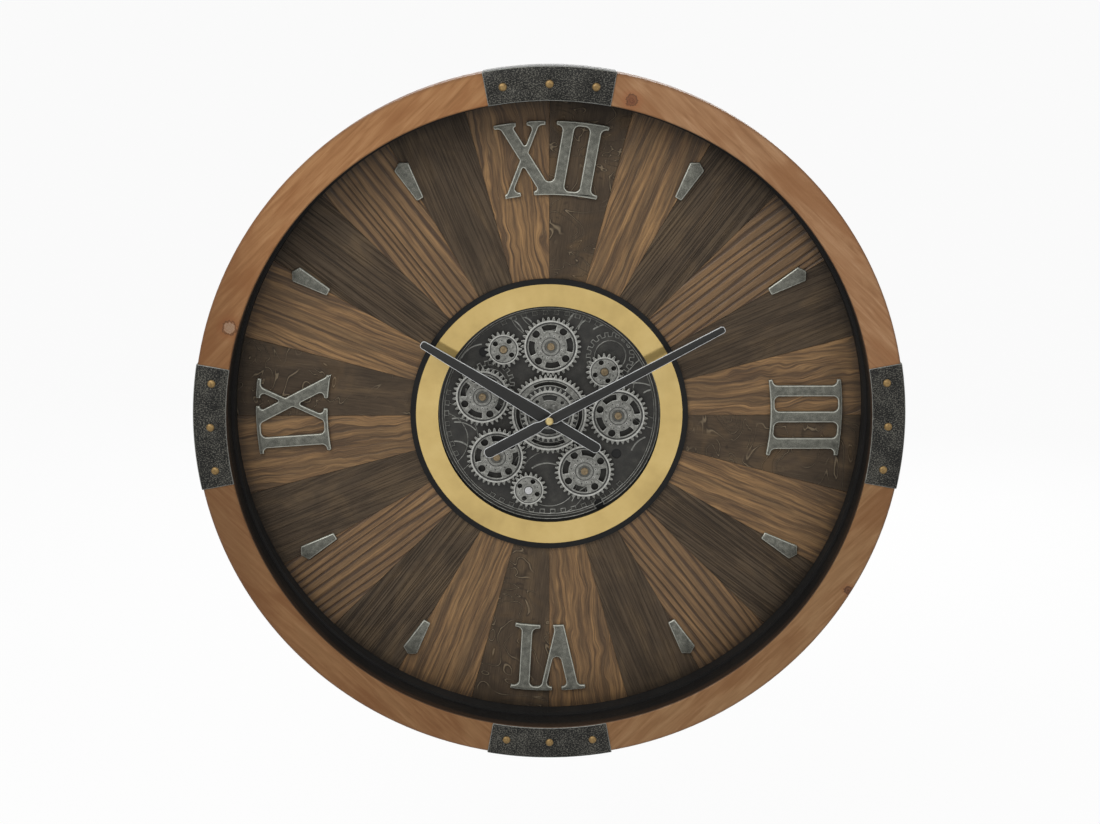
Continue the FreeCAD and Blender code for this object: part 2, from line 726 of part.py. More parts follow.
def numerals():
    """Raised numerals with round-bracketed serifs that follow the dial's curve."""
    height = number("numeral_height")
    far = number(NUMERAL_OUTER_RADIUS)
    near = number(NUMERAL_INNER_RADIUS)
    serif = number("numeral_serif")
    for name, shares in NUMERAL_SHARES.items():
        whole = band_face(far, near, -30, 30)
        faces = [stroke_face(number(width), outer * height, inner * height).common(whole).Faces[0]
                 for width, outer, inner in shares["strokes"]]
        for radius, lower, ends in ((far, far - serif, shares["outer_serifs"]),
                                    (near + serif, near, shares["inner_serifs"])):
            for start, end in ends:
                span = [math.degrees(place * height / radius) for place in (start, end)]
                faces.append(band_face(radius, lower, *span))
        rise = FreeCAD.Vector(0, 0, number("numeral_thickness"))
        slabs = [face.extrude(rise) for face in faces]
        blank = doc.addObject("Part::Feature", "blank_" + name)
        blank.Shape = slabs[0].multiFuse(slabs[1:]).removeSplitter().Solids[0]
        eased = doc.addObject("Part::Fillet", "eased_" + name)
        eased.Base = blank
        eased.Edges = eased_corners(blank.Shape, number("numeral_easing"))
        doc.recompute()
        solid = eased.Shape.Solids[0]
        solid.translate(FreeCAD.Vector(0, 0, number(DIAL)))
        group("numeral_" + name, [spun(solid, -30 * shares["hour"])])


def hour_bars():
    """Tapered bars, pointed outward, at the eight hours without a numeral."""
    bar = new_body("hour_bar")
    outline = sketch_on(bar, "outline", DIAL)
    inner = "%s - bar_length" % BAR_OUTER_RADIUS
    shoulder = "%s - bar_point" % BAR_OUTER_RADIUS
    add_polygon(outline, [
        ("-bar_inner_width / 2", inner), ("bar_inner_width / 2", inner), ("bar_width / 2", shoulder),
        ("0", BAR_OUTER_RADIUS), ("-bar_width / 2", shoulder),
    ])
    pad(bar, outline, "bar_thickness")
    doc.recompute()
    group("hour_bars", [spun(bar.Shape, -30 * hour) for hour in range(12) if hour % 3])


def bezel():
    """The window bezel with its screw bosses, and the gold mirror ring that lies in it."""
    body = new_body("window_bezel")
    turned(body, "section", [
        (BORE_RADIUS, PLATE_FRONT), (BORE_RADIUS + " + bezel_wall", PLATE_FRONT),
        (BORE_RADIUS + " + bezel_wall", BEZEL_UNDER),
        (WINDOW_RADIUS + " - side_gap", BEZEL_UNDER), (WINDOW_RADIUS + " - side_gap", DIAL),
        (LIP_RADIUS, DIAL), (LIP_RADIUS, "%s + bezel_rim_height" % DIAL),
        (MIRROR_SEAT, "%s + bezel_rim_height" % DIAL), (MIRROR_SEAT, BEZEL_FLOOR),
        (BORE_RADIUS, BEZEL_FLOOR),
    ])
    bosses = sketch_on(body, "boss", PLATE_FRONT)
    add_circle(bosses, "bezel_boss_radius", BOSS_CIRCLE)
    boss = pad(body, bosses, "%s - %s + fit_gap" % (BEZEL_UNDER, PLATE_FRONT))
    holes = sketch_on(body, "boss_hole", PLATE_FRONT)
    add_circle(holes, SCREW_HOLE, BOSS_CIRCLE)
    hole = pocket(body, holes, "bezel_screw_bite + fit_gap", outward=True)
    repeated(body, [boss, hole], bosses, "bezel_boss_count")
    seat("window_bezel", body)
    mirror = ring_body("mirror_ring", "%s - fit_gap" % MIRROR_SEAT, BORE_RADIUS, BEZEL_FLOOR,
                       "mirror_thickness")
    seat("mirror_ring", mirror)


def axle(name):
    """Where an axle stands, as expressions: its mesh distance away from its gear's mate."""
    if name == "centre":
        return "0", "0"
    mate, shown = LARGE_GEARS.get(name) or SMALL_GEARS[name]
    distance = LARGE_MESH if name in LARGE_GEARS else SMALL_MESH
    right, up = axle(mate)
    return ("(%s + %s * sin(%s_clockwise))" % (right, distance, name),
            "(%s + %s * cos(%s_clockwise))" % (up, distance, name))


def pin_bore(name):
    """The hole for a gear's pin: pressed in, except for the shaft that turns."""
    return "(pin_radius + %s)" % ("running_gap" if name == "drive" else "press_gap")


def drive_screw_places():
    """The four screws at the corners of the gear drive, as expressions."""
    places = []
    for side in ("-", "+"):
        for level in ("-", "+"):
            places.append(("drive_right %s (drive_width / 2 - drive_screw_inset)" % side,
                           "drive_up %s (drive_height / 2 - drive_screw_inset)" % level))
    return places


def module_plate():
    """The plate behind the window, its spacer, the pins' sleeves and the bezel's screws."""
    plate = ring_body("module_plate", PLATE_RADIUS, "bush_radius + fit_gap", PLATE_BACK,
                      "plate_thickness")
    bores = sketch_on(plate, "bores", PLATE_FRONT)
    for name in list(LARGE_GEARS) + list(SMALL_GEARS):
        add_circle(bores, pin_bore(name), *axle(name))
    pocket(plate, bores, "plate_thickness + cut_overrun")
    pilots = sketch_on(plate, "drive_pilots", PLATE_BACK)
    for across, along in drive_screw_places():
        add_circle(pilots, SCREW_HOLE, across, along)
    pocket(plate, pilots, "drive_screw_bite + fit_gap", outward=True)
    hole_ring(plate, "bezel_screws", SCREW_HOLE, "%s - cut_overrun" % PLATE_BACK,
              "plate_thickness + 2 * cut_overrun", BOSS_CIRCLE, "bezel_boss_count", "0")
    seat("module_plate", plate)
    seat("spacer_ring", ring_body("spacer_ring", PLATE_RADIUS, PLATE_RADIUS + " - spacer_width",
                                  PLATE_FRONT, "%s - %s" % (BOARD_BACK, PLATE_FRONT)))
    sleeves = []
    for name in list(LARGE_GEARS) + list(SMALL_GEARS):
        right, up = (number(text) for text in axle(name))
        height = "%s - %s" % (SLEEVE_FRONT, PLATE_FRONT)
        outside = solid_cylinder("sleeve_radius", height, PLATE_FRONT, right, up)
        sleeves.append(outside.cut(solid_cylinder(pin_bore(name), height, PLATE_FRONT, right, up)))
    group("pin_sleeves", sleeves)
    screw_ring("bezel_screws", PLATE_BACK, "plate_thickness + bezel_screw_bite",
               BOSS_CIRCLE, "bezel_boss_count", "0")


# Places of the relief plate's features, as shares of its radius, right of and above its middle
RELIEF_WHEEL_SHARES = ((0.55, 0.53), (-0.53, 0.27))
RELIEF_HOLE_SHARES = ((0.613, -0.385), (0.456, -0.86), (-0.585, 0.565))
RELIEF_STRAP_SHARES = ((-0.02, 1.02), (-1.0, -0.25), (1.02, 0.2), (0.0, -0.62))
RELIEF_BLOCK_ARCS = ((62, 118), (236, 316), (168, 206))


def relief_plate():
    """A decorative plate under the gears: a rim, blocks, arched straps and two relief wheels."""
    radius = number(BORE_RADIUS + " - side_gap")
    step = number("relief_step")
    top = number(RELIEF_FRONT)
    disc = solid_cylinder(BORE_RADIUS + " - side_gap", "relief_thickness", PLATE_FRONT)
    rim_inner = radius - number("relief_rim_width")
    base = FreeCAD.Vector(0, 0, top)
    rim = Part.makeCylinder(radius, step, base).cut(Part.makeCylinder(rim_inner, step, base))
    inside = Part.makeCylinder(rim_inner, step, base)
    raised = [rim]
    low_step = number("relief_strap_step")
    outer = number("relief_strap_radius")
    inner = outer - number("relief_strap_width")
    for right_share, up_share in RELIEF_STRAP_SHARES:
        place = FreeCAD.Vector(right_share * radius, up_share * radius, top)
        strap = Part.makeCylinder(outer, low_step, place).cut(Part.makeCylinder(inner, low_step, place))
        raised.append(strap.common(inside))
    tooth_length = number("relief_tooth_length")
    tooth_width = number("relief_tooth_width")
    wheel_radius = number("relief_wheel_radius")
    sink = number("relief_sink")
    count = int(number("relief_wheel_teeth"))
    for right_share, up_share in RELIEF_WHEEL_SHARES:
        place = FreeCAD.Vector(right_share * radius, up_share * radius, top)
        wheel = Part.makeCylinder(wheel_radius, step, place)
        teeth = []
        for index in range(count):
            tooth = Part.makeBox(tooth_length + sink, tooth_width, step,
                                 FreeCAD.Vector(wheel_radius - sink, -tooth_width / 2, 0))
            tooth.rotate(FreeCAD.Vector(0, 0, 0), FreeCAD.Vector(0, 0, 1), index * 360 / count)
            tooth.translate(place)
            teeth.append(tooth)
        hollow = Part.makeCylinder(wheel_radius - tooth_length, step,
                                   place + FreeCAD.Vector(0, 0, low_step))
        raised.append(wheel.multiFuse(teeth).cut(hollow))
    block_length = number("relief_block_length")
    block_width = number("relief_block_width")
    pitch = number("relief_block_pitch")
    block_step = number("relief_block_step")
    block_inner = rim_inner - sink - block_length
    for start, end in RELIEF_BLOCK_ARCS:
        for index in range(int((end - start) / pitch) + 1):
            block = Part.makeBox(block_length, block_width, block_step,
                                 FreeCAD.Vector(block_inner, -block_width / 2, top))
            raised.append(spun(block, start + index * pitch))
    holes = [solid_cylinder("bush_radius + side_gap", "relief_thickness + 3 * relief_step",
                            "%s - relief_step" % PLATE_FRONT)]
    for name in list(LARGE_GEARS) + list(SMALL_GEARS):
        right, up = (number(text) for text in axle(name))
        holes.append(solid_cylinder("sleeve_radius + side_gap", "relief_thickness + 3 * relief_step",
                                    "%s - relief_step" % PLATE_FRONT, right, up))
    for right_share, up_share in RELIEF_HOLE_SHARES:
        holes.append(solid_cylinder("relief_hole_radius", "relief_thickness + 3 * relief_step",
                                    "%s - relief_step" % PLATE_FRONT,
                                    right_share * radius, up_share * radius))
    group("relief_plate", [disc.multiFuse(raised).cut(holes).removeSplitter()])


def toothed_disc(label, teeth, tip, back, thickness, bore):
    """A gear blank with a bore and a ring of tapered teeth."""
    body = new_body(label)
    root = "(%s - tooth_height)" % tip
    blank = sketch_on(body, "blank", back)
    add_circle(blank, root)
    add_circle(blank, bore)
    pad(body, blank, thickness)
    tooth = sketch_on(body, "tooth", back)
    foot = "%s - tooth_root_sink" % root
    add_polygon(tooth, [
        (foot, "-tooth_foot_width / 2"), (tip, "-tooth_tip_width / 2"),
        (tip, "tooth_tip_width / 2"), (foot, "tooth_foot_width / 2"),
    ])
    tooth_pad = pad(body, tooth, thickness)
    repeated(body, [tooth_pad], tooth, teeth)
    return body


def slot_ring(body, inner, outer, sweep, back, front):
    """Curved slots between the spokes of a gear."""
    slot = turned(body, "slot", [
        (inner, "%s - cut_overrun" % back), (outer, "%s - cut_overrun" % back),
        (outer, "%s + cut_overrun" % front), (inner, "%s + cut_overrun" % front),
    ], sweep=sweep, kind="Groove")
    return slot


def hub(body, radius, top, rise):
    """A raised disc round a gear's bore, with a recess that takes the pin's head."""
    disc = sketch_on(body, "hub", top)
    add_circle(disc, radius)
    add_circle(disc, "hub_recess_radius")
    pad(body, disc, rise)
    recess = sketch_on(body, "recess", "%s + %s" % (top, rise))
    add_circle(recess, "hub_recess_radius")
    add_circle(recess, "pin_radius + running_gap")
    pocket(body, recess, "%s + hub_recess_depth" % rise)


def large_gear():
    gear = toothed_disc("large_gear", "large_teeth", "large_tip_radius", GEAR_BACK, "gear_thickness",
                        "pin_radius + running_gap")
    slot = slot_ring(gear, "large_slot_inner_radius", "large_slot_outer_radius", "large_slot_angle",
                     GEAR_BACK, GEAR_FRONT)
    middle = "((large_slot_inner_radius + large_slot_outer_radius) / 2)"
    holes = sketch_on(gear, "hole", GEAR_FRONT)
    add_circle(holes, "large_hole_radius", "%s * cos(180 / spoke_count)" % middle,
               "%s * sin(180 / spoke_count)" % middle)
    hole = pocket(gear, holes, "gear_thickness + cut_overrun")
    repeated(gear, [slot, hole], holes, "spoke_count")
    hub(gear, "large_hub_radius", GEAR_FRONT, "gear_hub_rise")
    return gear


def small_gear():
    gear = toothed_disc("small_gear", "small_teeth", "small_tip_radius", GEAR_BACK, "gear_thickness",
                        "pin_radius + running_gap")
    holes = sketch_on(gear, "hole", GEAR_FRONT)
    add_circle(holes, "small_hole_radius", "small_hole_circle")
    hole = pocket(gear, holes, "gear_thickness + cut_overrun")
    repeated(gear, [hole], holes, "spoke_count")
    hub(gear, "small_hub_radius", GEAR_FRONT, "gear_hub_rise")
    return gear


def mesh_turn(place, teeth, mate_place, mate_teeth, mate_turn):
    """The angle at which a gear's teeth fall in the gaps of the gear that it meshes with."""
    line = math.degrees(math.atan2(place[1] - mate_place[1], place[0] - mate_place[0]))
    share = (mate_turn - line) * mate_teeth / 360
    return line + 180 - (share + 0.5) * 360 / teeth


def gears():
    """Nine gears in mesh: the double centre gear, five large round it, and three small."""
    centre = toothed_disc("centre_wheel", "centre_teeth", "centre_tip_radius", GEAR_BACK,
                          "gear_thickness", "bush_radius + running_gap")
    slot = slot_ring(centre, "centre_slot_inner_radius", "centre_slot_outer_radius",
                     "centre_slot_angle", GEAR_BACK, GEAR_FRONT)
    repeated(centre, [slot], next(item for item in centre.Group if item.Name.endswith("tooth")),
             "spoke_count")
    upper = toothed_disc("upper_wheel", "upper_teeth", "upper_tip_radius", GEAR_FRONT,
                         "upper_thickness", "bush_radius + running_gap")
    slot = slot_ring(upper, "upper_slot_inner_radius", "upper_slot_outer_radius", "upper_slot_angle",
                     GEAR_FRONT, UPPER_FRONT)
    repeated(upper, [slot], next(item for item in upper.Group if item.Name.endswith("tooth")),
             "spoke_count")
    collar = sketch_on(upper, "collar", UPPER_FRONT)
    add_circle(collar, "upper_hub_radius")
    add_circle(collar, "bush_radius + running_gap")
    pad(upper, collar, "upper_hub_rise")
    centre_turn = 90 - number("centre_clockwise")
    seat("centre_wheel", centre, turn=centre_turn)
    seat("upper_wheel", upper, turn=centre_turn)

    kinds = ((LARGE_GEARS, large_gear(), "large_teeth"), (SMALL_GEARS, small_gear(), "small_teeth"))
    doc.recompute()
    known = {"centre": ((0.0, 0.0), number("centre_teeth"), centre_turn)}
    for table, pattern, teeth_name in kinds:
        teeth = number(teeth_name)
        for name, (mate, clockwise) in table.items():
            place = tuple(number(text) for text in axle(name))
            turn = mesh_turn(place, teeth, *known[mate])
            pitch = 360 / teeth
            shown = 90 - clockwise
            turn += round((shown - turn) / pitch) * pitch
            known[name] = (place, teeth, turn)
            copy = doc.addObject("Part::Feature", name + "_gear")
            copy.Shape = pattern.Shape.copy()
            seat(name + "_gear", copy, *axle(name), turn)


def pins():
    """Brass pins with round heads that hold the gears, and the shaft that drives one of them."""
    solids = []
    for name in list(LARGE_GEARS) + list(SMALL_GEARS):
        right, up = (number(text) for text in axle(name))
        if name == "drive":
            bottom = "(%s - drive_shaft_bite)" % PLATE_BACK
            head_back = RECESS_FLOOR
        else:
            bottom = PLATE_BACK
            head_back = "(%s + side_gap)" % RECESS_FLOOR
        shank = solid_cylinder("pin_radius", "%s - %s" % (head_back, bottom), bottom, right, up)
        head = solid_cylinder("pin_head_radius", "pin_head_height", head_back, right, up)
        whole = shank.fuse(head).removeSplitter()
        if name == "drive":
            group("drive_shaft", [whole])
        else:
            solids.append(whole)
    group("gear_pins", solids)


def hand(label, name, back, bore):
    """A flat hand with rounded ends, a round hub disc and a tail."""
    body = new_body(label)
    blade = sketch_on(body, "blade", back)
    length, tail = name + "_length", name + "_tail"
    tip, root = name + "_tip_width / 2", name + "_root_width / 2"
    add_polygon(blade, [
        (tip, length), ("-" + tip, length), ("-" + root, "0"), ("-hand_tail_width / 2", "-" + tail),
        ("hand_tail_width / 2", "-" + tail), (root, "0"),
    ])
    blade_pad = pad(body, blade, "hand_thickness")
    doc.recompute()
    ends = []
    for index, edge in enumerate(blade_pad.Shape.Edges, start=1):
        middle = edge.CenterOfMass
        upright = abs(edge.Vertexes[0].Point.z - edge.Vertexes[1].Point.z) > number("hand_thickness") / 2
        if upright and abs(middle.y) > number("hub_disc_radius"):
            ends.append("Edge%d" % index)
    rounding = body.newObject("PartDesign::Fillet", label + "_ends")
    rounding.Base = (blade_pad, ends)
    drive(rounding, "Radius", "hand_corner_radius")
    disc = sketch_on(body, "disc", back)
    add_circle(disc, "hub_disc_radius")
    pad(body, disc, "hand_thickness")
    hole = sketch_on(body, "bore", "%s + hand_thickness" % back)
    add_circle(hole, bore + " + press_gap")
    pocket(body, hole, "hand_thickness + cut_overrun")
    seat(label, body, turn=-number(name + "_clockwise"))


def hands():
    """Both hands, with the bush, nut, hour tube, minute arbor and brass cap that carry them."""
    hand("hour_hand", "hour", HOUR_BACK, "hour_tube_radius")
    hand("minute_hand", "minute", MINUTE_BACK, "minute_arbor_radius")
    seat("centre_bush", ring_body("centre_bush", "bush_radius", "hour_tube_radius + running_gap",
                                  PLATE_BACK, "%s - %s" % (BUSH_FRONT, PLATE_BACK)))
    nut = new_body("centre_nut")
    flats = sketch_on(nut, "flats", NUT_BACK)
    corner = "(nut_across / 2 / cos(30))"
    add_polygon(flats, [("%s * cos(%d)" % (corner, angle), "%s * sin(%d)" % (corner, angle))
                        for angle in range(30, 390, 60)])
    add_circle(flats, "bush_radius + press_gap")
    pad(nut, flats, "nut_height")
    seat("centre_nut", nut)
    tube_back = "(%s + side_gap)" % PLATE_BACK
    seat("hour_tube", ring_body("hour_tube", "hour_tube_radius", "minute_arbor_radius + running_gap",
                                tube_back, "%s - %s" % (HOUR_FRONT, tube_back)))
    arbor = new_body("minute_arbor")
    rod = sketch_on(arbor, "rod", tube_back)
    add_circle(rod, "minute_arbor_radius")
    pad(arbor, rod, "%s + cap_height / 2 - %s" % (MINUTE_FRONT, tube_back))
    seat("minute_arbor", arbor)
    cap = new_body("hand_cap")
    top = "(%s + cap_height)" % MINUTE_FRONT
    inside = "(minute_arbor_radius + press_gap)"
    blind = "(%s + cap_height / 2)" % MINUTE_FRONT
    turned(cap, "section", [
        (inside, MINUTE_FRONT), ("cap_radius", MINUTE_FRONT), ("cap_radius", "%s - cap_bevel" % top),
        ("cap_radius - cap_bevel", top), ("0", top), ("0", blind), (inside, blind),
    ])
    seat("hand_cap", cap)


def cell(right, up, height):
    """A dry cell lying along X, its button to the right."""
    along = FreeCAD.Vector(1, 0, 0)
    start = FreeCAD.Vector(right, up, height)
    can = Part.makeCylinder(number("cell_radius"), number("cell_length"), start, along)
    end = start + FreeCAD.Vector(number("cell_length"), 0, 0)
    nub = Part.makeCylinder(number("cell_nub_radius"), number("cell_nub_length"), end, along)
    return can.fuse(nub)


def contacts(left, up, height):
    """The two sprung plates at the ends of a cell's bay."""
    plates = []
    thick = number("contact_thickness")
    wide = number("contact_width")
    for right in (left, left + number(BAY_LENGTH) - thick):
        corner = FreeCAD.Vector(right, up - wide / 2, height - wide / 2)
        plates.append(Part.makeBox(thick, wide, wide, corner))
    return plates


def movement():
    """The quartz movement on the clock's axis, with its cell, contacts and setting knob."""
    case = new_body("movement_case")
    outline = sketch_on(case, "outline", MOVEMENT_BACK)
    add_centred_box(outline, "movement_width", "movement_width")
    pad(case, outline, "movement_thickness")
    bay = sketch_on(case, "bay", MOVEMENT_BACK)
    add_centred_box(bay, BAY_LENGTH, BAY_DEPTH, "0", "-movement_bay_drop")
    bay_depth = "(%s + side_gap)" % BAY_DEPTH
    pocket(case, bay, bay_depth, outward=True)
    recess = sketch_on(case, "knob_recess", MOVEMENT_BACK)
    add_circle(recess, "knob_radius + side_gap", "0", "knob_up")
    pocket(case, recess, "knob_thickness - knob_rise + side_gap", outward=True)
    stem_hole = sketch_on(case, "stem_hole", MOVEMENT_BACK)
    add_circle(stem_hole, "knob_stem_radius + running_gap", "0", "knob_up")
    pocket(case, stem_hole, "knob_thickness + knob_stem_length + side_gap", outward=True)
    seat("movement_case", case)
    knob = new_body("setting_knob")
    wheel = sketch_on(knob, "wheel", "%s - knob_rise" % MOVEMENT_BACK)
    add_circle(wheel, "knob_radius")
    pad(knob, wheel, "knob_thickness")
    stem = sketch_on(knob, "stem", "%s + knob_thickness - knob_rise" % MOVEMENT_BACK)
    add_circle(stem, "knob_stem_radius")
    pad(knob, stem, "knob_stem_length")
    seat("setting_knob", knob, up="knob_up")
    left = -number(BAY_LENGTH) / 2
    up = -number("movement_bay_drop")
    height = number("%s + %s - cell_radius - fit_gap" % (MOVEMENT_BACK, bay_depth))
    start = left + number("contact_thickness + fit_gap")
    group("movement_cell", [cell(start, up, height)])
    group("movement_contacts", contacts(left, up, height))


def gear_drive():
    """The battery drive that turns the gears, with two cells, a sliding lid and a switch."""
    case = new_body("drive_case")
    outline = sketch_on(case, "outline", DRIVE_BACK)
    add_centred_box(outline, "drive_width", "drive_height", "drive_right", "drive_up")
    pad(case, outline, "drive_thickness")
    right_side = "(drive_right + drive_width / 2)"
    bay_left = "(%s - drive_wall - %s)" % (right_side, BAY_LENGTH)
    bay_height = "(2 * %s + drive_wall)" % BAY_DEPTH
    bay = sketch_on(case, "bay", LID_FRONT)
    for side in ("-", "+"):
        add_centred_box(bay, BAY_LENGTH, BAY_DEPTH, "(%s + %s / 2)" % (bay_left, BAY_LENGTH),
                        "(drive_up %s (%s + drive_wall) / 2)" % (side, BAY_DEPTH))
    pocket(case, bay, BAY_DEPTH, outward=True)
    opening = sketch_on(case, "lid_opening", DRIVE_BACK)
    lid_left = "(%s - lid_margin)" % bay_left
    lid_height = "(%s + 2 * lid_margin)" % bay_height
    add_box(opening, lid_left, "drive_up - %s / 2" % lid_height,
            "%s + cut_overrun" % right_side, "drive_up + %s / 2" % lid_height)
    pocket(case, opening, "lid_thickness + side_gap", outward=True)
    groove = sketch_on(case, "lid_groove", "%s + lid_face_thickness" % DRIVE_BACK)
    add_box(groove, lid_left, "drive_up - %s / 2 - lid_tongue" % lid_height,
            "%s + cut_overrun" % right_side, "drive_up + %s / 2 + lid_tongue" % lid_height)
    pocket(case, groove, "lid_thickness - lid_face_thickness + side_gap", outward=True)
    slot = sketch_on(case, "switch_slot", DRIVE_BACK)
    switch_up = "(drive_up + switch_drop)"
    add_box(slot, "switch_right - side_gap", "%s - switch_width / 2 - side_gap" % switch_up,
            "switch_right + switch_length + switch_travel + side_gap",
            "%s + switch_width / 2 + side_gap" % switch_up)
    pocket(case, slot, "switch_depth", outward=True)
    runway = sketch_on(case, "switch_runway", "%s + switch_depth" % DRIVE_BACK)
    add_box(runway, "switch_right - switch_flange - side_gap",
            "%s - switch_width / 2 - switch_flange - side_gap" % switch_up,
            "switch_right + switch_length + switch_travel + switch_flange + side_gap",
            "%s + switch_width / 2 + switch_flange + side_gap" % switch_up)
    pocket(case, runway, "switch_flange_thickness + 2 * side_gap", outward=True)
    shaft_hole = sketch_on(case, "shaft_hole", PLATE_BACK)
    add_circle(shaft_hole, "pin_radius + running_gap", *axle("drive"))
    pocket(case, shaft_hole, "drive_shaft_bite + side_gap")
    heads = sketch_on(case, "screw_heads", DRIVE_BACK)
    shanks = sketch_on(case, "screw_shanks", DRIVE_BACK)
    for across, along in drive_screw_places():
        add_circle(heads, "screw_head_radius + side_gap", across, along)
        add_circle(shanks, SCREW_HOLE, across, along)
    pocket(case, heads, "drive_thickness - drive_screw_floor", outward=True)
    pocket(case, shanks, "drive_thickness + cut_overrun", outward=True)
    seat("drive_case", case)

    lid = new_body("battery_lid")
    face = sketch_on(lid, "face", DRIVE_BACK)
    add_box(face, lid_left + " + side_gap", "drive_up - %s / 2 + side_gap" % lid_height,
            right_side, "drive_up + %s / 2 - side_gap" % lid_height)
    pad(lid, face, "lid_thickness")
    tongues = sketch_on(lid, "tongues", "%s + lid_face_thickness + side_gap" % DRIVE_BACK)
    add_box(tongues, lid_left + " + side_gap",
            "drive_up - %s / 2 - lid_tongue + side_gap" % lid_height,
            right_side, "drive_up + %s / 2 + lid_tongue - side_gap" % lid_height)
    pad(lid, tongues, "lid_thickness - lid_face_thickness - side_gap")
    grip = sketch_on(lid, "grip", DRIVE_BACK)
    add_centred_box(grip, "lid_grip_width / 4", "lid_grip_width",
                    "(%s - lid_grip_width)" % right_side, "drive_up")
    pocket(lid, grip, "lid_grip_depth", outward=True)
    seat("battery_lid", lid)

    slider = new_body("power_switch")
    thumb = sketch_on(slider, "thumb", "%s - switch_rise" % DRIVE_BACK)
    add_box(thumb, "switch_right", switch_up + " - switch_width / 2",
            "switch_right + switch_length", switch_up + " + switch_width / 2")
    pad(slider, thumb, "switch_rise + switch_depth + side_gap")
    flange = sketch_on(slider, "flange", "%s + switch_depth + side_gap" % DRIVE_BACK)
    add_box(flange, "switch_right - switch_flange", switch_up + " - switch_width / 2 - switch_flange",
            "switch_right + switch_length + switch_flange",
            switch_up + " + switch_width / 2 + switch_flange")
    pad(slider, flange, "switch_flange_thickness")
    seat("power_switch", slider)

    left = number(bay_left)
    height = number("%s + %s - cell_radius - fit_gap" % (LID_FRONT, BAY_DEPTH))
    start = left + number("contact_thickness + fit_gap")
    cells = []
    plates = []
    for side in (-1, 1):
        up = number("drive_up") + side * number("(%s + drive_wall) / 2" % BAY_DEPTH)
        cells.append(cell(start, up, height))
        plates += contacts(left, up, height)
    group("drive_cells", cells)
    group("drive_contacts", plates)
    screws = [screw("(%s + drive_thickness - drive_screw_floor)" % DRIVE_BACK,
                    "drive_screw_floor + drive_screw_bite", number(across), number(along))
              for across, along in drive_screw_places()]
    group("drive_screws", screws)


front_ring()
straps()
back_ring()
hanger()
dial()
numerals()
hour_bars()
bezel()
module_plate()
relief_plate()
gears()
pins()
hands()
movement()
gear_drive()
doc.recompute()

for item in doc.Objects:
    if "Invalid" in item.State or "Error" in item.State:
        raise RuntimeError("%s did not compute" % item.Name)
os.makedirs("parts", exist_ok=True)
for label, item in pieces.items():
    if item.Shape.isNull() or not item.Shape.isValid():
        raise RuntimeError("%s has no valid shape" % label)
    item.Shape.exportStep("parts/%s.step" % label)
    print(label, len(item.Shape.Solids), "solids, volume", round(item.Shape.Volume))
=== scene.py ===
import json
import math
from types import SimpleNamespace

import bmesh
import bpy
from mathutils import Matrix, Vector


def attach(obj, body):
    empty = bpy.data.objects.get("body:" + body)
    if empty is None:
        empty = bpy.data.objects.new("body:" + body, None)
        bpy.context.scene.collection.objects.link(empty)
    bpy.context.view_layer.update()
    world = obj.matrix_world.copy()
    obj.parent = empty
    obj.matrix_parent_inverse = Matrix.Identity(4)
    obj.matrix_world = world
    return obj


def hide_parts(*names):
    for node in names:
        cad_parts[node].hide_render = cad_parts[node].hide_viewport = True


# Wooden gear clock. The pieces made here are drawn in dial space: millimetres, X to the
# right, Y up the dial, Z the height above the wall. STAND then puts them in the row frame.
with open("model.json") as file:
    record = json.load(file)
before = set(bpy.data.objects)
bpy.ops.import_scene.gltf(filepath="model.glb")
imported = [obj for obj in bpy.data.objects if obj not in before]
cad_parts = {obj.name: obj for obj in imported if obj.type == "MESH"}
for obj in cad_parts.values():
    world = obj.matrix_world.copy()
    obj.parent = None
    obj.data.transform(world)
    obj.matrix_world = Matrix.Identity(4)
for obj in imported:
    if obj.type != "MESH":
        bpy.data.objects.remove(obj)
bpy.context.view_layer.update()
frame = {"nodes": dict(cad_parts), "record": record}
NODES = frame["nodes"]

HUB_HEIGHT = -0.27975
STAND = (Matrix.Translation((0, 0, HUB_HEIGHT)) @ Matrix.Rotation(math.radians(90), 4, "X")
         @ Matrix.Scale(0.001, 4))

# Heights above the wall, in millimetres
RING_FRONT = 78
NAIL_SEAT = 79
RELIEF_FRONT = 27.6
GEAR_BACK = 30.9
GEAR_FRONT = 33.5
UPPER_FRONT = 35.5

# Radii of the wooden ring, in millimetres
RING_OUTER = 300
RING_INNER = 273.5

# Repeats round the dial
ARCS = 4
STAVES = 24

# How far corners may lie apart and still be merged, in millimetres
MERGE = 0.002


# ---------------------------------------------------------------- camera, light and floor

def tone(red, green, blue):
    """A screen colour, 0 to 255, as the linear colour that the shaders take."""
    def linear(value):
        share = value / 255
        return share / 12.92 if share <= 0.04045 else ((share + 0.055) / 1.055) ** 2.4
    return linear(red), linear(green), linear(blue), 1.0


def aim(obj, target):
    way = Vector(target) - obj.location
    obj.rotation_euler = way.to_track_quat("-Z", "Y").to_euler()


def camera():
    """The camera that was fitted to the rings of the photograph."""
    azimuth, elevation, distance = math.radians(-0.314), math.radians(14.162), 1.64357
    middle = Vector((0, -RING_FRONT / 1000, HUB_HEIGHT))
    back = Vector((math.sin(azimuth) * math.cos(elevation), -math.cos(azimuth) * math.cos(elevation),
                   math.sin(elevation)))
    lens = bpy.data.cameras.new("camera")
    lens.sensor_width = 36
    lens.lens = 63.6
    lens.shift_x = 0.00044
    lens.shift_y = 0.0136
    lens.clip_start = 0.05
    eye = bpy.data.objects.new("camera", lens)
    bpy.context.scene.collection.objects.link(eye)
    eye.location = middle + back * distance
    aim(eye, middle)
    bpy.context.scene.camera = eye


